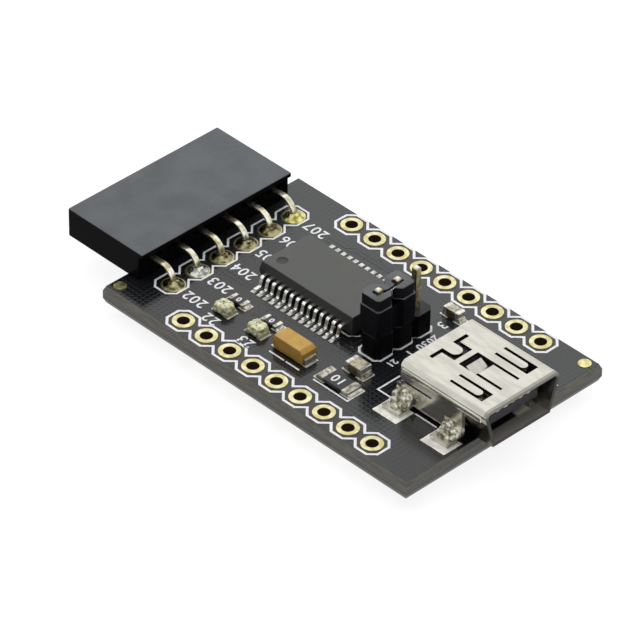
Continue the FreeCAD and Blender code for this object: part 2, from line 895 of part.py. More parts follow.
def led_places():
    return [(led_x, led_y), (led_x + led_spacing, led_y)]


def led_lens(x, y):
    bottom = land_top + led_base_height
    top = bottom + led_lens_height
    draft = 2.0 * led_lens_draft
    wires = [rectangle_wire(x, y, led_lens_length, led_lens_width, bottom),
             rectangle_wire(x, y, led_lens_length - draft, led_lens_width - draft, top)]
    lens = Part.makeLoft(wires, True, True)
    middle = (bottom + top) / 2.0
    lens = lens.makeFillet(led_lens_corner, [edge for edge in lens.Edges if abs(edge.CenterOfMass.z - middle) < same])
    return lens.makeFillet(led_lens_rounding, [edge for edge in lens.Edges if abs(edge.CenterOfMass.z - top) < same])


def resistor_places():
    return [(x, resistor_y) for x, y in led_places()]


def small_part_lands():
    lands = part_lands(tantalum_x, tantalum_y, tantalum_length, tantalum_lead_width, tantalum_lead_foot)
    lands.extend(part_lands(fuse_x, fuse_y, fuse_length, fuse_width, fuse_end))
    for x, y in led_places():
        lands.extend(part_lands(x, y, led_length, led_width, led_end, led_land_margin))
    for x, y in resistor_places():
        lands.extend(part_lands(x, y, resistor_length, resistor_width, resistor_end))
    lands.extend(part_lands(large_capacitor_x, large_capacitor_y, large_capacitor_length,
                            large_capacitor_width, large_capacitor_end))
    lands.extend(part_lands(small_capacitor_x, small_capacitor_y, small_capacitor_length,
                            small_capacitor_width, small_capacitor_end))
    return group(lands)


def chip_part(nodes, name, x, y, length, width, height, end):
    nodes[name + "_body"] = middle_block(x, y, length, width, height, end)
    nodes[name + "_ends"] = end_caps(x, y, length, width, height, end)


def build_board(nodes):
    nodes["circuit_board"] = circuit_board()
    nodes["plated_holes_front_row"] = plated_holes(side_row(-1), side_bore, side_ring)
    nodes["plated_holes_back_row"] = plated_holes(side_row(1), side_bore, side_ring)
    nodes["header_plated_holes"] = plated_holes(header_places(), side_bore, header_ring)
    nodes["jumper_plated_holes"] = plated_holes(jumper_places(), jumper_bore, jumper_ring)
    nodes["fiducial_dots"] = fiducial_dots()
    nodes["chip_lands"] = chip_lands()
    nodes["small_part_lands"] = small_part_lands()
    nodes["usb_tab_lands"] = usb_tab_lands()
    nodes["usb_contact_lands"] = usb_contact_lands()


def build_serial_header(nodes):
    nodes["serial_header_housing"] = serial_header_housing()
    solder = []
    for number, (x, y) in enumerate(header_places(), 1):
        contact = serial_contact(y)
        nodes["serial_header_contact_%d" % number] = contact
        solder.append(pin_solder(x, y, side_bore, header_ring, contact))
    nodes["serial_header_solder"] = group(solder)


def build_jumper(nodes):
    pins = [jumper_pin(x, y) for x, y in jumper_places()]
    nodes["jumper_header_base"] = jumper_header_base(pins)
    solder = []
    for number, (pin, (x, y)) in enumerate(zip(pins, jumper_places()), 1):
        nodes["jumper_pin_%d" % number] = pin
        filled = pin_solder(x, y, jumper_bore, jumper_ring, pin)
        under_base = block(x - jumper_ring, x + jumper_ring, y - jumper_ring, y + jumper_ring,
                           land_top, jumper_base_top)
        solder.append(filled.cut(under_base))
    nodes["jumper_solder"] = group(solder)
    nodes["jumper_cap_housing"] = jumper_cap_housing()
    nodes["jumper_cap_clip"] = jumper_cap_clip()


def build_usb_socket(nodes):
    contacts = [usb_contact(y) for y in usb_contact_rows()]
    shell = usb_socket_shell()
    nodes["usb_socket_shell"] = shell
    nodes["usb_socket_insulator"] = usb_socket_insulator(contacts)
    for number, contact in enumerate(contacts, 1):
        nodes["usb_contact_%d" % number] = contact
    nodes["usb_tab_solder"] = group([tab_solder(x, side).cut(shell) for x, side in tab_places()])


def build_chip(nodes):
    front = converter_chip_leads(-1)
    back = converter_chip_leads(1)
    nodes["converter_chip_body"] = converter_chip_body(front.Solids + back.Solids)
    nodes["converter_chip_leads_front"] = front
    nodes["converter_chip_leads_back"] = back


def build_small_parts(nodes):
    terminals = [tantalum_terminal(side) for side in (-1, 1)]
    nodes["tantalum_capacitor_body"] = tantalum_body(terminals)
    nodes["tantalum_capacitor_terminals"] = group(terminals)
    chip_part(nodes, "resettable_fuse", fuse_x, fuse_y, fuse_length, fuse_width, fuse_height, fuse_end)
    for name, (x, y) in zip(("transmit", "receive"), led_places()):
        nodes[name + "_led_base"] = middle_block(x, y, led_length, led_width, led_base_height, led_end)
        nodes[name + "_led_terminals"] = end_caps(x, y, led_length, led_width, led_base_height, led_end)
        nodes[name + "_led_lens"] = led_lens(x, y)
    for name, (x, y) in zip(("transmit", "receive"), resistor_places()):
        chip_part(nodes, name + "_resistor", x, y, resistor_length, resistor_width,
                  resistor_height, resistor_end)
    chip_part(nodes, "large_capacitor", large_capacitor_x, large_capacitor_y, large_capacitor_length,
              large_capacitor_width, large_capacitor_height, large_capacitor_end)
    chip_part(nodes, "small_capacitor", small_capacitor_x, small_capacitor_y, small_capacitor_length,
              small_capacitor_width, small_capacitor_height, small_capacitor_end)


def main():
    nodes = {}
    build_board(nodes)
    build_serial_header(nodes)
    build_jumper(nodes)
    build_usb_socket(nodes)
    build_chip(nodes)
    build_small_parts(nodes)
    os.makedirs("parts", exist_ok=True)
    for name, shape in nodes.items():
        shape.exportStep("parts/%s.step" % name)
        print(name, "solids", len(shape.Solids), "valid", shape.isValid(), "volume %.4f" % shape.Volume)


main()
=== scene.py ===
import bmesh
import bpy
import json
import math
import random
from mathutils import Matrix, Vector

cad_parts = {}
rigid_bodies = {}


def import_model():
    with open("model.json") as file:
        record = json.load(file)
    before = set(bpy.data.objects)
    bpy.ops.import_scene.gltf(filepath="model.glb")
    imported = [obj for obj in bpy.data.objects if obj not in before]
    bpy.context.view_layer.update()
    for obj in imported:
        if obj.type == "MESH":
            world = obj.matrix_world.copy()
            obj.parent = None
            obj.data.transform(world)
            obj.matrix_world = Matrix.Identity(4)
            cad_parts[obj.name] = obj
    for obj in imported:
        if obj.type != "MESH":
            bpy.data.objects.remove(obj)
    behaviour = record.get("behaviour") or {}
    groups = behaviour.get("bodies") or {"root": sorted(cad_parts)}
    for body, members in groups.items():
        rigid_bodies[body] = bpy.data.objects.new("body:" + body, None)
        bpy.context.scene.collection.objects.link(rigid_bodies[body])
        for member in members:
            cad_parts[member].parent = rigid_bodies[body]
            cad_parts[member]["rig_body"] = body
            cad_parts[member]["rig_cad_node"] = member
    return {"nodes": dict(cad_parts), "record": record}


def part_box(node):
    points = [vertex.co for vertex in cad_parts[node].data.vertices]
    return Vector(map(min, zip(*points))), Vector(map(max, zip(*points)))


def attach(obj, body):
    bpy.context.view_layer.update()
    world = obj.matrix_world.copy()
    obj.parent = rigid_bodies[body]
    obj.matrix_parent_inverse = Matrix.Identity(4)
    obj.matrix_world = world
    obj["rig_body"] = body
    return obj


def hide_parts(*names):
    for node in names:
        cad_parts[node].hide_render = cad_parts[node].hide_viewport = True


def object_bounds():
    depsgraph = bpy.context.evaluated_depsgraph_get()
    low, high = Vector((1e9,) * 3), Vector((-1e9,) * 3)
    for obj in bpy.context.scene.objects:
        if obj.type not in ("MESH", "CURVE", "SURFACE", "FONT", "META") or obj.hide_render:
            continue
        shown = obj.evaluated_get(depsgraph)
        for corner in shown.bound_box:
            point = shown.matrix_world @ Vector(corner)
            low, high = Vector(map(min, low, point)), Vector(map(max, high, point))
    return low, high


# Looks for a small circuit board that links a USB socket to a row of serial sockets.
# The CAD gives every place: metres, origin in the middle of the side holes, +X to the
# USB socket, +Z up out of the side with the parts.

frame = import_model()
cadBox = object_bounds()
nodes = frame["nodes"]
mm = 0.001
bpy.ops.object.select_all(action="DESELECT")
print("frame loaded:", len(nodes), "nodes")


def mixTone(red, green, blue):
    # a colour as seen on a screen, 0 to 255, made linear
    tone = []
    for part in (red, green, blue):
        share = part / 255
        tone.append(share / 12.92 if share < 0.04045 else ((share + 0.055) / 1.055) ** 2.4)
    return (*tone, 1.0)


# Camera, floor and light

cameraSettings = {
    "place": (229.549, -230.705, 252.587),  # mm
    "right": (0.69591, 0.71805, 0.01105),
    "down": (0.44352, -0.41765, -0.79300),
    "forward": (-0.56480, 0.55676, -0.60912),
    "lens": 306.74,
    "sensor": 36.0,
}


def setCamera(settings):
    bpy.ops.object.camera_add()
    camera = bpy.context.active_object
    camera.name = "photoCamera"
    turn = Matrix((settings["right"], -Vector(settings["down"]), -Vector(settings["forward"])))
    camera.matrix_world = Matrix.Translation(Vector(settings["place"]) * mm) @ turn.transposed().to_4x4()
    camera.data.sensor_width = settings["sensor"]
    camera.data.lens = settings["lens"]
    camera.data.clip_start = 0.01
    camera.data.clip_end = 20
    bpy.context.scene.camera = camera


stageSettings = {
    "floorSize": 3.0,
    "floorBase": 0.22,
    "floorGlow": 0.88,  # how much of its white the backdrop keeps inside a shadow
    "worldFill": 0.08,
    "lamps": {
        "softBox": {"place": (-0.42, 0.42, 1.10), "size": 3.2, "watts": 46.0, "inReflections": False},
        "skyPanel": {"place": (-0.55, 0.35, 1.00), "size": 1.1, "watts": 1.0, "inReflections": True},
        "frontPanel": {"place": (0.50, -0.70, 0.22), "size": 0.40, "watts": 0.30, "inReflections": True},
    },
}


def seenDirectly(tree):
    # 1 for what the camera sees, straight or in a reflection or through glass
    path = tree.nodes.new("ShaderNodeLightPath")
    total = path.outputs["Is Camera Ray"]
    for name in ("Is Glossy Ray", "Is Transmission Ray"):
        most = tree.nodes.new("ShaderNodeMath")
        most.operation = "MAXIMUM"
        tree.links.new(total, most.inputs[0])
        tree.links.new(path.outputs[name], most.inputs[1])
        total = most.outputs[0]
    return total


def scaledBy(tree, socket, factor, offset):
    step = tree.nodes.new("ShaderNodeMath")
    step.operation = "MULTIPLY_ADD"
    tree.links.new(socket, step.inputs[0])
    step.inputs[1].default_value = factor
    step.inputs[2].default_value = offset
    return step.outputs[0]


def setStage(settings):
    lowest = cadBox[0].z
    bpy.ops.mesh.primitive_plane_add(size=settings["floorSize"], location=(0, 0, lowest))
    floor = bpy.context.active_object
    floor.name = "paleFloor"
    cover = bpy.data.materials.new("floorPaper")
    cover.use_nodes = True
    shader = cover.node_tree.nodes["Principled BSDF"]
    base = settings["floorBase"]
    shader.inputs["Base Color"].default_value = (base, base, base, 1)
    shader.inputs["Roughness"].default_value = 0.9
    shader.inputs["Specular IOR Level"].default_value = 0.0
    shader.inputs["Emission Color"].default_value = (1, 1, 1, 1)
    glow = scaledBy(cover.node_tree, seenDirectly(cover.node_tree), settings["floorGlow"], 0.0)
    cover.node_tree.links.new(glow, shader.inputs["Emission Strength"])
    floor.data.materials.append(cover)

    world = bpy.data.worlds.new("studioWorld")
    bpy.context.scene.world = world
    world.use_nodes = True
    sky = world.node_tree.nodes["Background"]
    sky.inputs["Color"].default_value = (1, 1, 1, 1)
    fill = settings["worldFill"]
    strength = scaledBy(world.node_tree, seenDirectly(world.node_tree), 1.0 - fill, fill)
    world.node_tree.links.new(strength, sky.inputs["Strength"])

    for name, lamp in settings["lamps"].items():
        bpy.ops.object.light_add(type="AREA", location=lamp["place"])
        light = bpy.context.active_object
        light.name = name
        light.data.size = lamp["size"]
        light.data.energy = lamp["watts"]
        light.visible_glossy = lamp["inReflections"]
        light.rotation_euler = Vector(lamp["place"]).to_track_quat("Z", "Y").to_euler()
    bpy.context.scene.view_settings.view_transform = "Standard"


setCamera(cameraSettings)
setStage(stageSettings)
print("camera, floor and light are set")


# Shader maths: a wire is one value or colour inside a finish

class Wire:
    def __init__(self, finish, socket):
        self.finish = finish
        self.socket = socket

    def maths(self, operation, first, second):
        return self.finish.add("ShaderNodeMath", {"operation": operation}, {0: first, 1: second})

    def __add__(self, other):
        return self.maths("ADD", self, other)

    def __radd__(self, other):
        return self.maths("ADD", other, self)

    def __sub__(self, other):
        return self.maths("SUBTRACT", self, other)

    def __rsub__(self, other):
        return self.maths("SUBTRACT", other, self)

    def __mul__(self, other):
        return self.maths("MULTIPLY", self, other)

    def __rmul__(self, other):
        return self.maths("MULTIPLY", other, self)

    def __truediv__(self, other):
        return self.maths("DIVIDE", self, other)

    def over(self, limit):
        return self.maths("GREATER_THAN", self, limit)

    def under(self, limit):
        return self.maths("LESS_THAN", self, limit)

    def most(self, other):
        return self.maths("MAXIMUM", self, other)

    def wave(self, spacing):
        # 0 to 0.5 and back over each spacing
        return self.maths("PINGPONG", self / spacing, 0.5)

    def squeeze(self, low, high):
        # 0 under low, 1 over high and a soft step between
        inputs = {"Value": self, "From Min": low, "From Max": high}
        return self.finish.add("ShaderNodeMapRange", {"interpolation_type": "SMOOTHSTEP"}, inputs)

    def slope(self, low, high):
        # the same soft step on a place, in mm
        return self.squeeze(low * mm, high * mm)

    def between(self, low, high):
        # 1 between two places, in mm
        return self.over(low * mm) * self.under(high * mm)

    def hill(self, low, high, soft):
        # 1 between two places, in mm, with a soft step inside each
        return self.slope(low, low + soft) * (1 - self.slope(high - soft, high))


class Finish:
    def __init__(self, name, shine):
        self.material = bpy.data.materials.new(name)
        self.material.use_nodes = True
        self.tree = self.material.node_tree
        self.shader = self.tree.nodes["Principled BSDF"]
        for socket, value in shine.items():
            self.shader.inputs[socket].default_value = value
        self.place = self.add("ShaderNodeTexCoord", {}, {}, "Object")

    def add(self, kind, settings, inputs, out=0):
        node = self.tree.nodes.new(kind)
        for name, value in settings.items():
            setattr(node, name, value)
        for name, value in inputs.items():
            if isinstance(value, Wire):
                self.tree.links.new(value.socket, node.inputs[name])
            else:
                node.inputs[name].default_value = value
        return Wire(self, node.outputs[out])

    def axis(self, name):
        return self.add("ShaderNodeSeparateXYZ", {}, {0: self.place}, name)

    def noise(self, grain, detail=3.0, stretch=(1, 1, 1), shift=(0, 0, 0)):
        # grain is the size of a patch, in mm
        moved = {"Vector": self.place, "Scale": stretch, "Location": shift}
        vector = self.add("ShaderNodeMapping", {}, moved)
        inputs = {"Vector": vector, "Scale": 1 / (grain * mm), "Detail": detail}
        return self.add("ShaderNodeTexNoise", {}, inputs)

    def blend(self, share, first, second):
        inputs = {"Factor": share, 6: first, 7: second}
        return self.add("ShaderNodeMix", {"data_type": "RGBA"}, inputs, 2)

    def drive(self, socket, wire):
        self.tree.links.new(wire.socket, self.shader.inputs[socket])

    def bump(self, height, depth, strength=1.0):
        # depth in mm
        inputs = {"Height": height, "Distance": depth * mm, "Strength": strength}
        self.drive("Normal", self.add("ShaderNodeBump", {}, inputs))


def mouldFinish(name, settings):
    # black moulding with painted light: painted shade keeps its sides near black and a painted sheen makes
    # the faces that look up paler
    shine = {"Roughness": settings["roughness"], "Specular IOR Level": settings["specular"],
             "Coat Roughness": settings["polish"], "Coat IOR": 1.55}
    finish = Finish(name, shine)
    cloud = finish.noise(2.4)
    speck = finish.noise(0.09, 2.0, shift=(0.03, 0.01, 0))
    height = finish.axis("Z")
    # the faces that look up, which take the painted sheen
    top = height.slope(settings["top"] - 0.07, settings["top"] - 0.01)
    if "ledge" in settings:
        top = top.most(height.between(settings["ledge"] - 0.06, settings["ledge"] + 0.04))
    share = cloud.squeeze(0.3, 0.7) * 0.7 + speck.squeeze(0.4, 0.7) * 0.3
    tone = finish.blend(share, settings["dark"], settings["light"])
    # painted shade on the sides, painted sheen over the grainy tone on the faces that look up
    finish.drive("Base Color", finish.blend(top, settings["side"], tone))
    finish.drive("Coat Weight", settings["sideCoat"] + top * (settings["coat"] + 0.3 * (cloud - 0.5)))
    finish.bump(speck, 0.004)
    return finish.material


sheetSettings = {
    "dark": mixTone(192, 190, 180),
    "light": mixTone(208, 206, 196),
    "roughness": 0.22,
    "cut": mixTone(46, 44, 40),  # painted shade on the thickness of the sheet, seen in the slots of its top
    "cutHeights": (5.13, 5.385),
    "cutReach": 3.3,
    "springReach": 0.775,  # the middle spring is pale on its edges too
    "springEnds": (11.6, 13.1),
    "rim": 16.79,
    # painted shade on the front rim, darker towards its foot; the paler of the two is also painted along
    # the lip
    "rimShadeLow": mixTone(66, 64, 58),
    "rimShadeHigh": mixTone(128, 127, 120),
    "rimHeights": (4.6, 5.3),
    "lip": (16.45, 16.57),
    "lipFoot": 5.0,
    "lipShare": 0.75,
    # painted shade on the front of the side that faces -Y
    "flankShade": mixTone(80, 76, 63),
    "flankReach": 2.9,
    "flankStart": (14.2, 14.6),
    "flankTop": 4.3,
    "litSill": mixTone(150, 146, 140),  # painted light on the floor just inside the mouth
    "sillStart": (15.55, 15.8),
    "sillTop": 2.5,
    "sillReach": 3.0,
    # a painted highlight on the floor inside the mouth
    "glare": mixTone(250, 247, 222),
    "glareEnds": (14.3, 15.9),
    "glareSides": (0.5, 2.2),
    "glareSoft": 0.3,
}


def sheetFinish(settings):
    # nickel plated sheet: satin faces, rougher where it was cut; painted shade on the slot walls, the front
    # rim, the lip and the front of the side that faces -Y, and painted light with a painted highlight, less
    # metallic, on the floor inside the mouth
    finish = Finish("socketSteel", {"Metallic": 1.0, "Roughness": settings["roughness"]})
    brushed = finish.noise(0.6, 4.0, (0.25, 1, 1))
    speck = finish.noise(0.18, 5.0, shift=(0.01, 0.02, 0))
    along, across, height = finish.axis("X"), finish.axis("Y"), finish.axis("Z")
    tone = finish.blend(brushed.squeeze(0.35, 0.65), settings["dark"], settings["light"])
    # painted shade on the front of the side that faces -Y, under flankTop
    flankShade = across.under(-settings["flankReach"] * mm) * along.slope(*settings["flankStart"])
    tone = finish.blend(flankShade * height.under(settings["flankTop"] * mm), tone, settings["flankShade"])
    # painted shade along the front strip of the top
    lip = along.slope(*settings["lip"]) * height.over(settings["lipFoot"] * mm)
    tone = finish.blend(lip * settings["lipShare"], tone, settings["rimShadeHigh"])
    rim = along.over(settings["rim"] * mm)
    soft = settings["glareSoft"]
    # a painted highlight on the floor inside the mouth
    glare = along.hill(*settings["glareEnds"], soft) * across.hill(*settings["glareSides"], soft)
    # painted light on the floor just inside the mouth, with the painted highlight in it
    litSill = along.slope(*settings["sillStart"]).most(glare) * height.under(settings["sillTop"] * mm)
    litSill = litSill * across.between(-settings["sillReach"], settings["sillReach"]) * (1 - rim)
    tone = finish.blend(litSill, tone, finish.blend(glare, settings["litSill"], settings["glare"]))
    spring = across.between(-settings["springReach"], settings["springReach"])
    # painted shade on the cut walls of the slots in the top, left off the middle spring
    cut = height.between(*settings["cutHeights"]) * (1 - spring * along.between(*settings["springEnds"]))
    cut = cut * across.between(-settings["cutReach"], settings["cutReach"])
    # painted shade on the front rim, darker towards its foot
    rimShadeTone = finish.blend(height.slope(*settings["rimHeights"]), settings["rimShadeLow"], settings["rimShadeHigh"])
    finish.drive("Base Color", finish.blend(rim, finish.blend(cut, tone, settings["cut"]), rimShadeTone))
    # the patch of painted light is mostly not metal
    finish.drive("Metallic", 1 - 0.85 * litSill)
    finish.drive("Roughness", settings["roughness"] + cut.most(rim) * 0.3 + 0.06 * (speck - 0.5))
    finish.bump(brushed, 0.0004)
    return finish.material


boreSettings = {
    "dark": mixTone(204, 194, 136),
    "light": mixTone(236, 229, 190),
    "wall": mixTone(62, 46, 28),
    "wallHeights": (-0.005, 1.605),
    "roughness": 0.32,
}


def boreFinish(settings):
    # pale gold lands round walls that are left dark by flux and shade
    finish = Finish("borePlate", {"Roughness": settings["roughness"]})
    drift = finish.noise(0.5, 4.0)
    speck = finish.noise(0.15, 4.0, shift=(0.01, 0.02, 0))
    tone = finish.blend(drift.squeeze(0.35, 0.65), settings["dark"], settings["light"])
    wall = finish.axis("Z").between(*settings["wallHeights"])
    finish.drive("Base Color", finish.blend(wall, tone, settings["wall"]))
    finish.drive("Metallic", 1 - wall * 0.5)
    finish.drive("Roughness", settings["roughness"] + wall * 0.35 + 0.2 * (speck - 0.5))
    finish.bump(drift * 0.6 + speck * 0.4, 0.006)
    return finish.material


def metalFinish(name, settings):
    # plated or tinned metal: tone drifts between two colours and the sheen is uneven
    finish = Finish(name, {"Metallic": settings.get("metallic", 1.0), "Roughness": settings["roughness"]})
    drift = finish.noise(settings["grain"], 4.0)
    share = drift.squeeze(0.35, 0.65)
    tone = finish.blend(share, settings["dark"], settings["light"])
    for axis, low, high, dark, light in settings.get("patches", []):
        patch = finish.axis(axis).between(low, high)
        tone = finish.blend(patch, tone, finish.blend(share, dark, light))
    finish.drive("Base Color", tone)
    speck = finish.noise(settings["grain"] * 0.3, 5.0, shift=(0.01, 0.02, 0))
    unevenness = settings.get("unevenness", 0.2)
    finish.drive("Roughness", settings["roughness"] + unevenness * (speck - 0.5))
    finish.bump(drift * 0.6 + speck * 0.4, settings["depth"])
    return finish.material


def plasticFinish(name, settings):
    # moulded plastic or glazed ceramic with a fine grain, some with a painted sheen on the faces that look
    # up
    shine = {"Roughness": settings["roughness"], "Specular IOR Level": settings.get("specular", 0.5)}
    finish = Finish(name, shine)
    drift = finish.noise(settings["grain"] * 12)
    speck = finish.noise(settings["grain"], 2.0, shift=(0.03, 0.01, 0))
    share = drift.squeeze(0.3, 0.7) * 0.6 + speck.squeeze(0.4, 0.7) * 0.4
    tone = finish.blend(share, settings["dark"], settings["light"])
    # painted sheen: the faces that look up take a paler tone, flecked with the plain tone
    if "top" in settings:
        top = finish.axis("Z").slope(settings["top"] - 0.06, settings["top"] - 0.02)
        fleck = finish.noise(0.22, 4.0, shift=(0.05, 0.02, 0)).squeeze(0.5, 0.62)
        tone = finish.blend(top, tone, finish.blend(fleck * 0.5, settings["topTone"], tone))
    finish.drive("Base Color", tone)
    unevenness = settings.get("unevenness", 0.1)
    finish.drive("Roughness", settings["roughness"] + unevenness * (drift - 0.5))
    finish.bump(speck, settings["depth"])
    return finish.material


metalSettings = {
    # a patch has its own two tones between two places along an axis, in mm
    "fiducialPlate": {"dark": mixTone(196, 188, 122), "light": mixTone(238, 232, 176), "roughness": 0.38,
                      "grain": 0.4, "depth": 0.008,
                      # painted shade: the fiducial left of x 0 is darker
                      "patches": [("X", -30, 0, mixTone(120, 117, 76), mixTone(184, 180, 134))]},
    "tinnedLand": {"dark": mixTone(216, 215, 205), "light": mixTone(248, 247, 239), "roughness": 0.5,
                   "grain": 0.6, "depth": 0.015, "metallic": 0.35},
    "chipLand": {"dark": mixTone(170, 170, 162), "light": mixTone(225, 225, 217), "roughness": 0.4,
                 "grain": 0.3, "depth": 0.02},
    "solderMetal": {"dark": mixTone(112, 108, 92), "light": mixTone(228, 225, 210), "roughness": 0.35,
                    "grain": 0.4, "depth": 0.03, "metallic": 0.8},
    "goldenSolder": {"dark": mixTone(62, 53, 28), "light": mixTone(176, 169, 130), "roughness": 0.28,
                     "unevenness": 0.15, "grain": 0.45, "depth": 0.02,
                     # the first patch is painted shade on the solder left of x -14.15, towards the header
                     "patches": [("X", -30, -14.15, mixTone(48, 40, 20), mixTone(120, 106, 60)),
                                 ("Y", -5.0, -2.6, mixTone(130, 130, 126), mixTone(238, 238, 232)),
                                 ("Y", 5.2, 8.0, mixTone(146, 138, 66), mixTone(242, 238, 160))]},
    "contactMetal": {"dark": mixTone(178, 170, 126), "light": mixTone(250, 248, 232), "roughness": 0.3,
                     "grain": 0.6, "depth": 0.01,
                     # painted shade on the contacts near the board, under z 2 mm
                     "patches": [("Z", 0, 2.0, mixTone(70, 59, 32), mixTone(146, 135, 94))]},
    "pinMetal": {"dark": mixTone(150, 142, 106), "light": mixTone(208, 200, 164), "roughness": 0.36,
                 "grain": 0.4, "depth": 0.006,
                 # painted highlight on the pin tips above the cap
                 "patches": [("Z", 7.44, 7.8, mixTone(222, 218, 196), mixTone(246, 244, 232))]},
    "clipMetal": {"dark": mixTone(190, 186, 172), "light": mixTone(240, 238, 230), "roughness": 0.24,
                  "unevenness": 0.1, "grain": 0.5, "depth": 0.004},
    "leadTin": {"dark": mixTone(206, 205, 200), "light": mixTone(250, 250, 247), "roughness": 0.22,
                "unevenness": 0.15, "grain": 0.25, "depth": 0.008},
    "endTin": {"dark": mixTone(180, 177, 166), "light": mixTone(238, 236, 228), "roughness": 0.34,
               "grain": 0.3, "depth": 0.02, "metallic": 0.8,
               # painted shade on the ends towards the front, under y -4.4 mm
               "patches": [("Y", -9.0, -4.4, mixTone(126, 123, 110), mixTone(204, 201, 190))]},
    "dullTin": {"dark": mixTone(124, 128, 110), "light": mixTone(168, 170, 152), "roughness": 0.4,
                "grain": 0.3, "depth": 0.02, "metallic": 0.8},
}

mouldSettings = {
    # top and ledge are the heights of the faces that look up, in mm; dark and light are painted sheen on
    # those faces and side is painted shade
    "headerPlastic": {"side": mixTone(10, 10, 11), "dark": mixTone(68, 72, 75),
                      "light": mixTone(80, 85, 88), "roughness": 0.42, "specular": 0.02, "polish": 0.38,
                      "top": 4.1, "coat": 0.85, "sideCoat": 0.0},
    "capPlastic": {"side": mixTone(24, 24, 29), "dark": mixTone(64, 66, 70),
                   "light": mixTone(98, 100, 102), "roughness": 0.45, "specular": 0.03, "polish": 0.3,
                   "top": 7.2, "ledge": 6.2, "coat": 0.6, "sideCoat": 0.04},
    "basePlastic": {"side": mixTone(14, 14, 16), "dark": mixTone(34, 35, 37), "light": mixTone(48, 50, 52),
                    "roughness": 0.45, "specular": 0.03, "polish": 0.3, "top": 3.65, "coat": 0.4,
                    "sideCoat": 0.04},
}

plasticSettings = {
    "socketPlastic": {"dark": mixTone(36, 33, 44), "light": mixTone(58, 54, 68), "roughness": 0.45,
                      "grain": 0.1, "depth": 0.003, "specular": 0.3},
    "tantalumResin": {"dark": mixTone(180, 136, 52), "light": mixTone(202, 162, 76), "roughness": 0.5,
                      "unevenness": 0.15, "grain": 0.08, "depth": 0.006},
    "fuseResin": {"dark": mixTone(28, 28, 30), "light": mixTone(42, 43, 45), "roughness": 0.35,
                  "grain": 0.08, "depth": 0.004},
    "ledBase": {"dark": mixTone(158, 156, 118), "light": mixTone(190, 188, 148), "roughness": 0.55,
                "grain": 0.08, "depth": 0.004},
    "resistorGlaze": {"dark": mixTone(30, 30, 32), "light": mixTone(46, 47, 50), "roughness": 0.3,
                      "grain": 0.1, "depth": 0.004},
    # the ceramics' faces that look up get a painted sheen, paler than their sides
    "tanCeramic": {"dark": mixTone(92, 80, 52), "light": mixTone(134, 120, 84), "roughness": 0.5,
                   "grain": 0.1, "depth": 0.005, "top": 2.5,
                   "topTone": mixTone(206, 200, 172)},
    "brownCeramic": {"dark": mixTone(66, 56, 38), "light": mixTone(96, 82, 56), "roughness": 0.5,
                     "grain": 0.1, "depth": 0.005, "top": 2.5,
                     "topTone": mixTone(196, 192, 172)},
    "silkInk": {"dark": mixTone(232, 232, 238), "light": mixTone(250, 250, 252), "roughness": 0.6,
                "grain": 0.06, "depth": 0.004},
    "bareLaminate": {"dark": mixTone(52, 50, 34), "light": mixTone(74, 70, 48), "roughness": 0.6,
                     "grain": 0.08, "depth": 0.004},
}


chipSettings = {
    "dark": mixTone(66, 68, 66),
    "light": mixTone(80, 82, 79),
    "smudge": mixTone(84, 78, 70),
    # painted shade on the sides
    "side": mixTone(36, 37, 36),
    "top": (3.31, 3.36),
    "roughness": 0.5,
}


def chipFinish(settings):
    # moulding compound: even grey with fine pale specks and a faint brown smudge, and painted shade on its
    # sides
    finish = Finish("chipResin", {"Roughness": settings["roughness"]})
    grain = finish.noise(0.05, 2.0)
    cloud = finish.noise(2.6, 2.0, shift=(0.004, 0.001, 0))
    tone = finish.blend(grain.squeeze(0.3, 0.75), settings["dark"], settings["light"])
    tone = finish.blend(cloud.squeeze(0.5, 0.75) * 0.5, tone, settings["smudge"])
    top = finish.axis("Z").slope(*settings["top"])
    # painted shade on the sides below the top
    finish.drive("Base Color", finish.blend(top, settings["side"], tone))
    finish.drive("Roughness", settings["roughness"] + 0.12 * (cloud - 0.5))
    finish.bump(grain, 0.004)
    return finish.material


lensSettings = {
    "dark": mixTone(176, 174, 120),
    "light": mixTone(236, 234, 202),
    "fleck": mixTone(92, 88, 48),
    "shine": {"Roughness": 0.22, "Coat Weight": 0.6, "Coat Roughness": 0.08,
              "Subsurface Weight": 0.25, "Subsurface Scale": 0.0003},
}


def lensFinish(settings):
    # clear epoxy over a pale reflector, so the colour sits a little below a glossy skin
    finish = Finish("lensEpoxy", settings["shine"])
    cloud = finish.noise(0.28, 4.0)
    fleck = finish.noise(0.16, shift=(0.02, 0.03, 0)).squeeze(0.6, 0.68)
    tone = finish.blend(cloud.squeeze(0.4, 0.6), settings["dark"], settings["light"])
    finish.drive("Base Color", finish.blend(fleck * 0.7, tone, settings["fleck"]))
    finish.bump(cloud, 0.03)
    return finish.material


maskSettings = {
    "dark": mixTone(14, 15, 16),
    "light": mixTone(22, 23, 25),
    "hatch": mixTone(34, 36, 38),
    # painted sheen: the mask is painted paler towards the back
    "back": mixTone(44, 47, 48),
    "sheenRise": (-2.0, 8.0),  # mm along Y, where the painted sheen makes the mask paler
    "sheenFade": (6.0, 15.0),  # mm along X, where it does so less
    "roughness": 0.15,
    "specular": 0.62,
    "hatchSpacing": 0.42,  # mm, the mesh of the copper ground under the mask
    "hatchGap": 0.28,
    "edgeDark": mixTone(84, 82, 74),
    "edgeLight": mixTone(128, 126, 114),
    # painted shade at the foot of the cut edges
    "edgeFootShade": mixTone(62, 61, 54),
    "edgeRise": (0.1, 1.3),
    "edgeHeights": (0.03, 1.57),
}


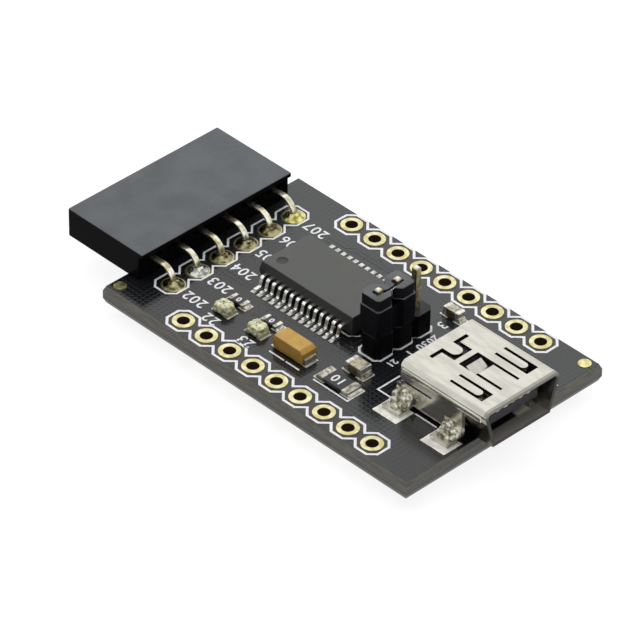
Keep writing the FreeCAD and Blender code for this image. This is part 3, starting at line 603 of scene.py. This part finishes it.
def maskFinish(settings):
    # dark mask over hatched copper on both faces, with a painted sheen that grows paler towards the back;
    # bare glass laminate on the cut edges, with painted shade at their foot
    shine = {"Roughness": settings["roughness"], "Specular IOR Level": settings["specular"]}
    finish = Finish("solderMask", shine)
    across = finish.axis("X").wave(settings["hatchSpacing"] * mm)
    along = finish.axis("Y").wave(settings["hatchSpacing"] * mm)
    mesh = across.most(along).squeeze(settings["hatchGap"], settings["hatchGap"] + 0.1)
    cloud = finish.noise(4.0)
    speck = finish.noise(0.12, 2.0, shift=(0.02, 0, 0))
    tone = finish.blend(cloud.squeeze(0.35, 0.65), settings["dark"], settings["light"])
    tone = finish.blend(mesh * 0.35, tone, settings["hatch"])
    # painted sheen, paler towards the back and less so towards +X
    fade = 0.8 - 0.35 * finish.axis("X").slope(*settings["sheenFade"])
    tone = finish.blend(finish.axis("Y").slope(*settings["sheenRise"]) * fade, tone, settings["back"])
    height = finish.axis("Z")
    edge = height.between(*settings["edgeHeights"])
    weave = finish.noise(0.5, 4.0, (0.35, 0.35, 2.2))
    fibre = finish.noise(0.09, 3.0, (1, 1, 0.6))
    share = weave.squeeze(0.35, 0.65) * 0.6 + fibre.squeeze(0.4, 0.7) * 0.4
    side = finish.blend(share, settings["edgeDark"], settings["edgeLight"])
    # painted shade, darker towards the foot of the edge
    side = finish.blend(height.slope(*settings["edgeRise"]), settings["edgeFootShade"], side)
    finish.drive("Base Color", finish.blend(edge, tone, side))
    finish.drive("Roughness", settings["roughness"] + edge * 0.3 + 0.1 * (cloud - 0.5))
    faceHeight = mesh * 0.5 + speck * 0.2
    edgeHeight = weave * 0.6 + fibre * 0.6
    finish.bump(faceHeight * (1 - edge) + edgeHeight * edge, 0.02, 0.7)
    return finish.material


finishes = {}
makers = ((metalFinish, metalSettings), (plasticFinish, plasticSettings), (mouldFinish, mouldSettings))
for make, rows in makers:
    for name, settings in rows.items():
        finishes[name] = make(name, settings)
finishes["chipResin"] = chipFinish(chipSettings)
finishes["socketSteel"] = sheetFinish(sheetSettings)
finishes["borePlate"] = boreFinish(boreSettings)
finishes["lensEpoxy"] = lensFinish(lensSettings)
finishes["solderMask"] = maskFinish(maskSettings)
print("finishes made:", len(finishes))

# the record's material slots, and the finish that each one takes
slotFinishes = {
    "solder_mask": "solderMask",
    "gold_plate": "borePlate",
    "tinned_land": "tinnedLand",
    "header_plastic": "headerPlastic",
    "contact_metal": "contactMetal",
    "solder": "solderMetal",
    "pin_metal": "pinMetal",
    "cap_plastic": "capPlastic",
    "clip_metal": "clipMetal",
    "socket_steel": "socketSteel",
    "socket_plastic": "socketPlastic",
    "chip_resin": "chipResin",
    "lead_tin": "leadTin",
    "tantalum_resin": "tantalumResin",
    "fuse_resin": "fuseResin",
    "led_base": "ledBase",
    "led_lens": "lensEpoxy",
    "resistor_glaze": "resistorGlaze",
    "tan_ceramic": "tanCeramic",
    "brown_ceramic": "brownCeramic",
    "end_tin": "endTin",
}
nodeSlots = {row["node"]: row["material_slot"] for row in frame["record"]["subparts"]}
bodyOf = {}
for body, members in frame["record"]["behaviour"]["bodies"].items():
    for name in members:
        bodyOf[name] = body


def coat(piece, finishName):
    piece.data.materials.clear()
    piece.data.materials.append(finishes[finishName])


# nodes whose finish differs from the rest of their slot
ownFinishes = {
    "fiducial_dots": "fiducialPlate",
    "chip_lands": "chipLand",
    "jumper_header_base": "basePlastic",
    "tantalum_capacitor_terminals": "dullTin",
    "transmit_led_terminals": "ledBase",
    "receive_led_terminals": "ledBase",
    "serial_header_solder": "goldenSolder",
}


def finishOf(nodeName):
    return ownFinishes.get(nodeName, slotFinishes[nodeSlots[nodeName]])


for name, node in nodes.items():
    coat(node, finishOf(name))
print("CAD nodes finished")


# Modelling by hand: start a primitive, select by place, keep it on its body

def select(piece):
    bpy.ops.object.select_all(action="DESELECT")
    piece.select_set(True)
    bpy.context.view_layer.objects.active = piece


def edit(piece):
    select(piece)
    bpy.ops.object.mode_set(mode="EDIT")


def leave():
    bpy.ops.object.mode_set(mode="OBJECT")


def pickAll():
    bpy.ops.mesh.select_all(action="SELECT")


def pickFaces(piece, test):
    # selects the faces whose middle and normal pass the test
    mesh = bmesh.from_edit_mesh(piece.data)
    bpy.ops.mesh.select_mode(type="FACE")
    for face in mesh.faces:
        face.select_set(test(face.calc_center_median(), face.normal))
    bmesh.update_edit_mesh(piece.data)


def pickPoints(piece, test):
    mesh = bmesh.from_edit_mesh(piece.data)
    bpy.ops.mesh.select_mode(type="VERT")
    for point in mesh.verts:
        point.select_set(test(point.co))
    mesh.select_flush(True)
    bmesh.update_edit_mesh(piece.data)


def settle(piece):
    # the place goes into the mesh, so that the object sits at the origin
    select(piece)
    bpy.ops.object.transform_apply(location=True, rotation=True, scale=True)


def placed(scale=(1, 1, 1)):
    # the primitive just added, with its place and size in its mesh
    piece = bpy.context.active_object
    piece.scale = scale
    settle(piece)
    return piece


def spotOf(nodeName):
    # the middle of a node from above, then its lowest and highest z, all in mm
    low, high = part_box(nodeName)
    return (low[0] + high[0]) / 2 / mm, (low[1] + high[1]) / 2 / mm, low[2] / mm, high[2] / mm


def applyModifier(piece, kind, settings):
    select(piece)
    modifier = piece.modifiers.new(kind.lower(), kind)
    for name, value in settings.items():
        setattr(modifier, name, value)
    bpy.ops.object.modifier_apply(modifier=modifier.name)


def join(pieces, name):
    select(pieces[0])
    for piece in pieces:
        piece.select_set(True)
    bpy.ops.object.join()
    whole = bpy.context.active_object
    whole.name = name
    whole.data.name = name
    return whole


def copied(piece, shift):
    twin = piece.copy()
    twin.data = piece.data.copy()
    bpy.context.scene.collection.objects.link(twin)
    twin.location = Vector(shift)
    settle(twin)
    return twin


def keep(piece, finishName, body="adapter_board", angle=35):
    coat(piece, finishName)
    select(piece)
    bpy.ops.object.shade_smooth_by_angle(angle=math.radians(angle))
    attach(piece, body)


def standIn(piece, nodeName, angle=35):
    # the piece in place of a node, with the node's finish and body
    keep(piece, finishOf(nodeName), bodyOf[nodeName], angle)
    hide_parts(nodeName)


def copyOfNode(nodeName, ending):
    # the CAD mesh as a piece of its own, its loose triangles merged
    select(nodes[nodeName])
    bpy.ops.object.duplicate()
    piece = bpy.context.active_object
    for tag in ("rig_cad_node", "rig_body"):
        if tag in piece:
            del piece[tag]
    piece.parent = None
    piece.name = nodeName + ending
    edit(piece)
    pickAll()
    bpy.ops.mesh.remove_doubles(threshold=0.0005 * mm)
    leave()
    return piece


def resized(piece, nodeName, share, unit):
    # about the middle of the foot; unit is mm for a piece in metres and 1 for one in mm
    x, y, foot, _ = spotOf(nodeName)
    edit(piece)
    pickAll()
    bpy.ops.transform.resize(value=share, center_override=Vector((x, y, foot)) * unit)
    leave()


easeSettings = {
    "segments": 2,
    "sharp": 25,  # degrees, an edge that turns by more is eased
    "flat": 1,
    "smooth": 60,
}


def softened(nodeName, width, settings):
    # the CAD piece with its edges eased, in place of the plain node
    piece = copyOfNode(nodeName, "_eased")
    edit(piece)
    pickAll()
    bpy.ops.mesh.dissolve_limited(angle_limit=math.radians(settings["flat"]))
    leave()
    bevel = {"width": width * mm, "segments": settings["segments"], "limit_method": "ANGLE",
             "angle_limit": math.radians(settings["sharp"]), "use_clamp_overlap": True}
    applyModifier(piece, "BEVEL", bevel)
    standIn(piece, nodeName, settings["smooth"])
    applyModifier(piece, "WEIGHTED_NORMAL", {"keep_sharp": True, "weight": 100})
    return piece


resizedPieces = {
    # share of the CAD size along each axis
    "transmit_led_base": (0.8, 0.88, 1),
    "receive_led_base": (0.8, 0.88, 1),
    "transmit_led_terminals": (0.8, 0.88, 1),
    "receive_led_terminals": (0.8, 0.88, 1),
}

easedEdges = {
    # width of the eased edge, in mm
    "transmit_led_base": 0.03,
    "receive_led_base": 0.03,
    "transmit_led_terminals": 0.03,
    "receive_led_terminals": 0.03,
    "serial_header_housing": 0.09,
    "jumper_header_base": 0.05,
    "jumper_cap_housing": 0.05,
    "usb_socket_shell": 0.035,
    "converter_chip_body": 0.05,
    "tantalum_capacitor_body": 0.09,
    "resettable_fuse_body": 0.05,
    "large_capacitor_body": 0.05,
    "small_capacitor_body": 0.05,
    "transmit_resistor_body": 0.03,
    "receive_resistor_body": 0.03,
}
for number in range(1, 7):
    easedEdges[f"serial_header_contact_{number}"] = 0.05
    resizedPieces[f"serial_header_contact_{number}"] = (1, 0.8, 1)
eased = {nodeName: softened(nodeName, width, easeSettings) for nodeName, width in easedEdges.items()}
for nodeName, share in resizedPieces.items():
    resized(eased[nodeName], nodeName, share, mm)
print("edges eased on", len(easedEdges), "pieces")


# Small changes of shape: lands drawn in, smaller windows in the cap, a fuller header

drawnIn = {
    "landRow": -2.9,  # the front lands' outer edges lie beyond this y
    "landShift": 0.3,
    "windowTop": 7.0,
    "windowReach": (0.5, 0.68),
    "windowScale": (0.68, 0.66, 1),
    "pins": [(2.5, -0.82), (2.5, 1.18)],
    "leds": [(-8.87, -5.8), (-5.27, -5.8)],
    "ledReach": (1.3, 1.0),
    "ledScale": (0.8, 0.8, 1),
    "headerGrowth": 0.08,
    "headerSkin": 0.12,  # how far the moved faces reach in
}


def drawnRound(piece, places, reach, share, foot=0.0):
    # the points about each place, over the foot, are drawn towards it
    for x, y in places:
        edit(piece)
        pickPoints(piece, lambda spot: spot.z > foot * mm and abs(spot.x - x * mm) < reach[0] * mm
                   and abs(spot.y - y * mm) < reach[1] * mm)
        bpy.ops.transform.resize(value=share, center_override=(x * mm, y * mm, foot * mm))
        leave()


def shortLands(settings):
    lands = copyOfNode("chip_lands", "_drawn")
    edit(lands)
    pickPoints(lands, lambda spot: spot.y < settings["landRow"] * mm)
    bpy.ops.transform.translate(value=(0, settings["landShift"] * mm, 0))
    leave()
    standIn(lands, "chip_lands")


def smallLedLands(settings):
    lands = copyOfNode("small_part_lands", "_drawn")
    drawnRound(lands, settings["leds"], settings["ledReach"], settings["ledScale"])
    standIn(lands, "small_part_lands")


def smallWindows(cap, settings):
    drawnRound(cap, settings["pins"], settings["windowReach"], settings["windowScale"],
               settings["windowTop"])


def fullerHeader(header, settings):
    low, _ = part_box("serial_header_housing")
    growth = settings["headerGrowth"] * mm
    skin = settings["headerSkin"] * mm
    edit(header)
    pickPoints(header, lambda spot: spot.x < low[0] + skin)
    bpy.ops.transform.translate(value=(-growth, 0, 0))
    pickPoints(header, lambda spot: spot.z < low[2] + skin)
    bpy.ops.transform.translate(value=(0, 0, -growth))
    leave()


shortLands(drawnIn)
smallLedLands(drawnIn)
smallWindows(eased["jumper_cap_housing"], drawnIn)
fullerHeader(eased["serial_header_housing"], drawnIn)
print("lands and windows drawn in")


# The socket's top sheet is folded down over both sides and ends in a thin step

flangeSettings = {
    "back": 8.15,
    "front": 16.3,
    "low": 4.34,
    "high": 4.86,
    "wall": 3.85,
    "out": 0.07,
    "sink": 0.25,
    "ease": 0.05,
}


def foldedFlanges(settings):
    strips = []
    for side in (-1, 1):
        middle = Vector(((settings["back"] + settings["front"]) / 2,
                         side * (settings["wall"] + (settings["out"] - settings["sink"]) / 2),
                         (settings["low"] + settings["high"]) / 2))
        bpy.ops.mesh.primitive_cube_add(size=mm, location=middle * mm)
        strips.append(placed((settings["front"] - settings["back"], settings["out"] + settings["sink"],
                              settings["high"] - settings["low"])))
    flanges = join(strips, "foldedFlanges")
    applyModifier(flanges, "BEVEL", {"width": settings["ease"] * mm, "segments": 2})
    keep(flanges, "socketSteel")


foldedFlanges(flangeSettings)
print("flanges done")


# Silk print: thin raised ink on the top face

boardTop = 1.6
silkSettings = {
    "thickness": 0.02,
    "line": 0.21,
    "headerLine": 0.17,
    "half": 1.27,
    "corner": 0.635,
    "rowY": 8.89,
    "pitch": 2.54,
    "perRow": 9,
    "headerX": -14.18,
    "headerPads": 6,
    "jumperX": 2.42,
    "jumperYs": (-0.93, 1.17, 3.27),
    "jumperHalves": (1.24, 1.05),
    "jumperCorner": 0.45,
    "jumperLine": 0.19,
}


def spread(count, pitch):
    # the places of a row of holes, about its middle
    return [(index - (count - 1) / 2) * pitch for index in range(count)]


def octagonPlate(x, y, halves, corner):
    # a flat plate with its four corners cut off
    bpy.ops.mesh.primitive_plane_add(size=2 * mm, location=(x * mm, y * mm, boardTop * mm))
    plate = placed((*halves, 1))
    edit(plate)
    pickAll()
    bpy.ops.mesh.bevel(offset=corner * mm, affect="VERTICES")
    leave()
    return plate


def thicken(thickness):
    # the flat outline in edit mode gets its thickness
    pickAll()
    bpy.ops.mesh.extrude_region_move(TRANSFORM_OT_translate={"value": (0, 0, thickness * mm)})
    pickAll()
    bpy.ops.mesh.normals_make_consistent(inside=False)
    leave()


def chainPrint(name, places, halves, corner, lineWidth, thickness):
    # the outline round a run of octagons that share a side
    chain = join([octagonPlate(x, y, halves, corner) for x, y in places], name)
    edit(chain)
    pickAll()
    bpy.ops.mesh.remove_doubles(threshold=0.02 * mm)
    bpy.ops.mesh.select_mode(type="FACE")
    pickAll()
    bpy.ops.mesh.dissolve_faces()
    pickAll()
    bpy.ops.mesh.inset(thickness=lineWidth * mm, use_even_offset=True)
    bpy.ops.mesh.delete(type="ONLY_FACE")
    thicken(thickness)
    keep(chain, "silkInk")


def printChains(settings):
    halves = (settings["half"], settings["half"])
    corner = settings["corner"]
    thickness = settings["thickness"]
    for side, name in ((-1, "frontRowPrint"), (1, "backRowPrint")):
        places = [(x, side * settings["rowY"]) for x in spread(settings["perRow"], settings["pitch"])]
        chainPrint(name, places, halves, corner, settings["line"], thickness)
    places = [(settings["headerX"], y) for y in spread(settings["headerPads"], settings["pitch"])]
    chainPrint("headerPrint", places, halves, corner, settings["headerLine"], thickness)
    places = [(settings["jumperX"], y) for y in settings["jumperYs"]]
    chainPrint("jumperPrint", places, settings["jumperHalves"], settings["jumperCorner"],
               settings["jumperLine"], thickness)


def stroke(points, width, thickness):
    # a flat line through the points, grown block by block from its first corner
    x, y = points[0]
    level = boardTop + thickness / 2
    bpy.ops.mesh.primitive_cube_add(size=1, location=(x * mm, y * mm, level * mm))
    line = placed((width * mm, width * mm, thickness * mm))
    edit(line)
    for nextX, nextY in points[1:]:
        away = Vector((nextX - x, nextY - y, 0))
        if abs(away.x) >= abs(away.y):
            step = Vector((math.copysign(1, away.x), 0, 0))
        else:
            step = Vector((0, math.copysign(1, away.y), 0))
        middle = (Vector((x, y, level)) + step * width / 2) * mm
        pickFaces(line, lambda spot, normal: normal.dot(step) > 0.9 and (spot - middle).length < 0.02 * mm)
        for move in (away - step * width, step * width):
            bpy.ops.mesh.extrude_region_move(TRANSFORM_OT_translate={"value": move * mm})
        x, y = nextX, nextY
    leave()
    return line


def strokes(settings, rows):
    return [stroke(points, settings["line"], settings["thickness"]) for points in rows]


bracketSettings = {
    "line": 0.14,
    "thickness": 0.02,
    "strokes": {
        "tantalumBracket": [(-3.0, -6.72), (-1.5, -6.72)],
        "tantalumBracketEnd": [(-1.2, -6.72), (0.1, -6.72)],
        "fuseBracket": [(1.75, -6.7), (5.32, -6.7), (5.32, -5.0)],
        "chipCorner": [(-1.3, -1.12), (-0.2, -1.12), (0.3, -0.5)],
        "socketCorner": [(7.1, -4.05), (5.85, -4.05), (5.85, -1.8)],
        "socketSide": [(9.9, -4.1), (12.0, -4.1)],
    },
}


def printBrackets(settings):
    keep(join(strokes(settings, settings["strokes"].values()), "partPrint"), "silkInk")


numberSettings = {
    "thickness": 0.02,
    "boldness": 0.014,
    "numbers": [
        # text, x, y, height in mm, turn in degrees
        ("202", -11.5, -6.4, 0.98, 180), ("203", -11.5, -3.8, 0.98, 180), ("204", -11.5, -1.3, 0.98, 180),
        ("205", -11.5, 1.3, 0.98, 180), ("206", -11.5, 3.8, 0.98, 180), ("207", -11.5, 6.4, 0.98, 180),
        ("22", -8.9, -7.2, 0.98, 180), ("23", -5.1, -7.2, 0.98, 180), ("3", 3.6, 4.95, 0.9, 270),
    ],
    "smallBoldness": 0.03,
    "smallNumbers": [
        ("2030", 4.38, 2.65, 0.7, 270), ("1", 4.36, 0.75, 0.66, 270), ("21", 4.3, -1.05, 0.6, 270),
    ],
}


digits = {
    "share": 0.7,  # of the font's size that a digit is high
    "spacing": 1.1,
    "curve": 3,
}


def plainNumber(text, x, y, height, turn, thickness, boldness, base=boardTop):
    bpy.ops.object.text_add(location=(x * mm, y * mm, (base + thickness / 2) * mm))
    number = bpy.context.active_object
    number.data.body = text
    number.data.size = height / digits["share"] * mm
    number.data.extrude = thickness / 2 * mm
    number.data.offset = boldness * mm
    number.data.space_character = digits["spacing"]
    number.data.resolution_u = digits["curve"]
    number.data.align_x = "CENTER"
    number.data.align_y = "CENTER"
    number.rotation_euler.z = math.radians(turn)
    select(number)
    bpy.ops.object.convert(target="MESH")
    number = bpy.context.active_object
    settle(number)
    edit(number)
    pickAll()
    bpy.ops.mesh.remove_doubles(threshold=0.001 * mm)
    leave()
    return number


def printNumbers(settings):
    prints = [plainNumber(*row, settings["thickness"], settings["boldness"]) for row in settings["numbers"]]
    for row in settings["smallNumbers"]:
        prints.append(plainNumber(*row, settings["thickness"], settings["smallBoldness"]))
    keep(join(prints, "numberPrint"), "silkInk")


printChains(silkSettings)
printBrackets(bracketSettings)
printNumbers(numberSettings)
print("prints done")


# Solder and lenses: the CAD pieces melted, some with lumps, and left uneven

tabLumps = {
    "seed": 7,
    "perTab": 14,
    "tabs": [(13.5, -1), (8.5, -1), (13.5, 1), (8.5, 1)],  # x and side of each tab
    "width": 1.5,
    "wall": 3.9,
    "reach": 1.15,
    "foot": 1.95,
    "rise": 1.25,
    "fall": 1.4,
    "sizes": (0.16, 0.34),
}

meltSettings = {
    # sizes in mm; a melted node is left uneven by its grain and depth
    "serial_header_solder": {"voxel": 0.05, "smoothing": 3, "grain": 0.5, "depth": 0.1},
    "usb_tab_solder": {"voxel": 0.045, "smoothing": 10, "grain": 0.4, "depth": 0.15, "lumps": tabLumps},
    "usb_tab_lands": {"voxel": 0.05, "smoothing": 6, "grain": 0.8, "depth": 0.05},
    "jumper_solder": {"voxel": 0.05, "smoothing": 3, "grain": 0.3, "depth": 0.06},
    "transmit_led_lens": {"voxel": 0.04, "smoothing": 3, "grain": 0.45, "depth": 0.22,
                          "growth": (1.2, 1.08, 1.3)},
    "receive_led_lens": {"voxel": 0.04, "smoothing": 3, "grain": 0.38, "depth": 0.22,
                         "growth": (1.2, 1.08, 1.3)},
}


def scaled(piece, factor):
    piece.scale = (factor, factor, factor)
    settle(piece)


def lumpsOnTabs(settings):
    # balls of solder, higher the nearer they lie to the socket's wall
    chance = random.Random(settings["seed"])
    small, large = settings["sizes"]
    balls = []
    for x, side in settings["tabs"]:
        for _ in range(settings["perTab"]):
            out = chance.random()
            size = small + chance.random() * (large - small)
            level = settings["foot"] + settings["rise"] * (1 - out) ** settings["fall"] * chance.random()
            along = x + (chance.random() - 0.5) * settings["width"]
            place = (along, side * (settings["wall"] + settings["reach"] * out), level)
            bpy.ops.mesh.primitive_ico_sphere_add(subdivisions=3, radius=size, location=place)
            balls.append(placed())
    return balls


def remelted(piece, settings):
    # a piece that is worked in mm, where the modifiers' sizes are handy, goes back to metres
    applyModifier(piece, "REMESH", {"mode": "VOXEL", "voxel_size": settings["voxel"]})
    applyModifier(piece, "SMOOTH", {"factor": 0.5, "iterations": settings["smoothing"]})
    clouds = bpy.data.textures.new(piece.name + "_clouds", "CLOUDS")
    clouds.noise_scale = settings["grain"]
    uneven = {"texture": clouds, "strength": settings["depth"], "mid_level": 0.5}
    applyModifier(piece, "DISPLACE", uneven)
    scaled(piece, mm)


def melted(nodeName, settings):
    piece = copyOfNode(nodeName, "_melted")
    scaled(piece, 1 / mm)
    if "lumps" in settings:
        piece = join([piece] + lumpsOnTabs(settings["lumps"]), piece.name)
    if "growth" in settings:
        resized(piece, nodeName, settings["growth"], 1)
    remelted(piece, settings)
    standIn(piece, nodeName, 80)


for nodeName, settings in meltSettings.items():
    melted(nodeName, settings)
print("solder and lenses melted")


# Solder at the ends of the small parts

filletSettings = {
    "nodes": ["resettable_fuse_ends", "transmit_resistor_ends", "receive_resistor_ends",
              "large_capacitor_ends", "small_capacitor_ends"],
    "reach": 0.24,
    "land": 1.65,
    "rise": 0.55,  # share of the part's height
    "leastRise": 0.2,
    "toe": 0.04,
    "inset": 0.06,
    "tuck": 0.03,
    "voxel": 0.04,
    "smoothing": 4,
    "grain": 0.25,
    "depth": 0.05,
}


def endFillets(settings):
    wedges = []
    reach = settings["reach"] + settings["tuck"]
    for nodeName in settings["nodes"]:
        low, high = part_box(nodeName)
        width = (high[1] - low[1]) / mm - settings["inset"]
        rise = max(settings["leastRise"], (high[2] / mm - settings["land"]) * settings["rise"])
        level = settings["land"] + rise / 2
        for side, wall in ((-1, low[0] / mm), (1, high[0] / mm)):
            place = (wall + side * (reach / 2 - settings["tuck"]), (low[1] + high[1]) / 2 / mm, level)
            bpy.ops.mesh.primitive_cube_add(size=1, location=place)
            wedge = placed((reach, width, rise))
            outer = wall + side * settings["reach"]
            edit(wedge)
            pickPoints(wedge, lambda spot: abs(spot.x - outer) < 0.001 and spot.z > level)
            bpy.ops.transform.translate(value=(0, 0, settings["toe"] - rise))
            leave()
            wedges.append(wedge)
    fillets = join(wedges, "endFillets")
    remelted(fillets, settings)
    keep(fillets, "solderMetal", angle=80)


endFillets(filletSettings)
print("fillets done")


# Clear rings in the mask round the holes, vias and traces under the mask

ringSettings = {
    "inner": 0.87,
    "outer": 1.02,
    "thickness": 0.008,
    "sides": 48,
    "headerX": -13.97,
}


def clearRing(settings):
    bpy.ops.mesh.primitive_circle_add(vertices=settings["sides"], radius=settings["outer"] * mm,
                                      fill_type="NGON", location=(0, 0, boardTop * mm))
    ring = placed()
    edit(ring)
    pickAll()
    bpy.ops.mesh.inset(thickness=(settings["outer"] - settings["inner"]) * mm)
    bpy.ops.mesh.delete(type="FACE")
    thicken(settings["thickness"])
    return ring


def ringsRoundHoles(settings, silk):
    first = clearRing(settings)
    columns = spread(silk["perRow"], silk["pitch"])
    places = [(x, side * silk["rowY"]) for side in (-1, 1) for x in columns]
    places += [(settings["headerX"], y) for y in spread(silk["headerPads"], silk["pitch"])]
    rings = [copied(first, (x * mm, y * mm, 0)) for x, y in places]
    bpy.data.objects.remove(first)
    keep(join(rings, "clearRings"), "bareLaminate")


traceSettings = {
    "line": 0.2,
    "thickness": 0.012,
    "strokes": [
        [(-10.2, 6.5), (-8.4, 6.5), (-7.6, 7.1), (-3.4, 7.1)],
        [(-10.2, 6.1), (-8.2, 6.1), (-7.4, 6.7), (-3.0, 6.7), (-1.5, 5.6)],
        [(-12.6, -2.45), (-9.6, -2.45)],
        [(-12.6, -2.05), (-9.8, -2.05)],
        [(4.6, 6.4), (6.8, 5.2), (9.0, 5.2)],
        [(4.6, 6.0), (6.6, 4.8), (8.4, 4.8)],
    ],
    "vias": [(-5.45, 7.45), (-7.2, -4.35), (-1.4, 5.2), (0.9, -1.9)],
    "viaWidth": 0.5,
    "viaHole": 0.22,
    "holeDepth": 0.004,
}


def disc(x, y, level, width, thickness, sides):
    # a flat round plate that stands at a level
    place = (x * mm, y * mm, (level + thickness / 2) * mm)
    bpy.ops.mesh.primitive_cylinder_add(vertices=sides, radius=width / 2 * mm, depth=thickness * mm,
                                        location=place)
    return placed()


def underMask(settings):
    thickness = settings["thickness"]
    copper = strokes(settings, settings["strokes"])
    copper += [disc(x, y, boardTop, settings["viaWidth"], thickness, 32) for x, y in settings["vias"]]
    keep(join(copper, "maskedCopper"), "solderMask")
    holes = [disc(x, y, boardTop + thickness, settings["viaHole"], settings["holeDepth"], 24)
             for x, y in settings["vias"]]
    keep(join(holes, "viaHoles"), "bareLaminate")


ringsRoundHoles(ringSettings, silkSettings)
underMask(traceSettings)
print("rings, traces and vias done")


# Marks and dies on the small parts

markSettings = {
    "boldness": 0.016,
    "thickness": 0.012,
    "marks": [
        # text, node, height in mm, turn in degrees
        ("10", "resettable_fuse_body", 0.82, 180),
        ("0", "transmit_resistor_body", 0.5, 180),
        ("0", "receive_resistor_body", 0.5, 180),
    ],
    # lens, shift along x and y from its middle, width in mm
    "dies": [
        ("transmit_led_lens", -0.22, 0.1, 0.14), ("transmit_led_lens", 0.06, 0.16, 0.1),
        ("transmit_led_lens", 0.02, -0.14, 0.12), ("receive_led_lens", -0.22, 0.08, 0.14),
        ("receive_led_lens", 0.07, 0.18, 0.1), ("receive_led_lens", 0.03, -0.12, 0.12),
    ],
    "dieDepth": 0.08,
    "dieLift": 0.06,
}


def markParts(settings):
    marks = []
    ink = (settings["thickness"], settings["boldness"])
    for text, nodeName, height, turn in settings["marks"]:
        x, y, _, top = spotOf(nodeName)
        marks.append(plainNumber(text, x, y, height, turn, *ink, top))
    keep(join(marks, "partMarks"), "silkInk")
    dots = []
    for nodeName, shiftX, shiftY, width in settings["dies"]:
        x, y, _, top = spotOf(nodeName)
        level = top + settings["dieLift"]
        dots.append(disc(x + shiftX, y + shiftY, level, width, settings["dieDepth"], 16))
    keep(join(dots, "ledDies"), "fuseResin")


markParts(markSettings)
print("marks done")
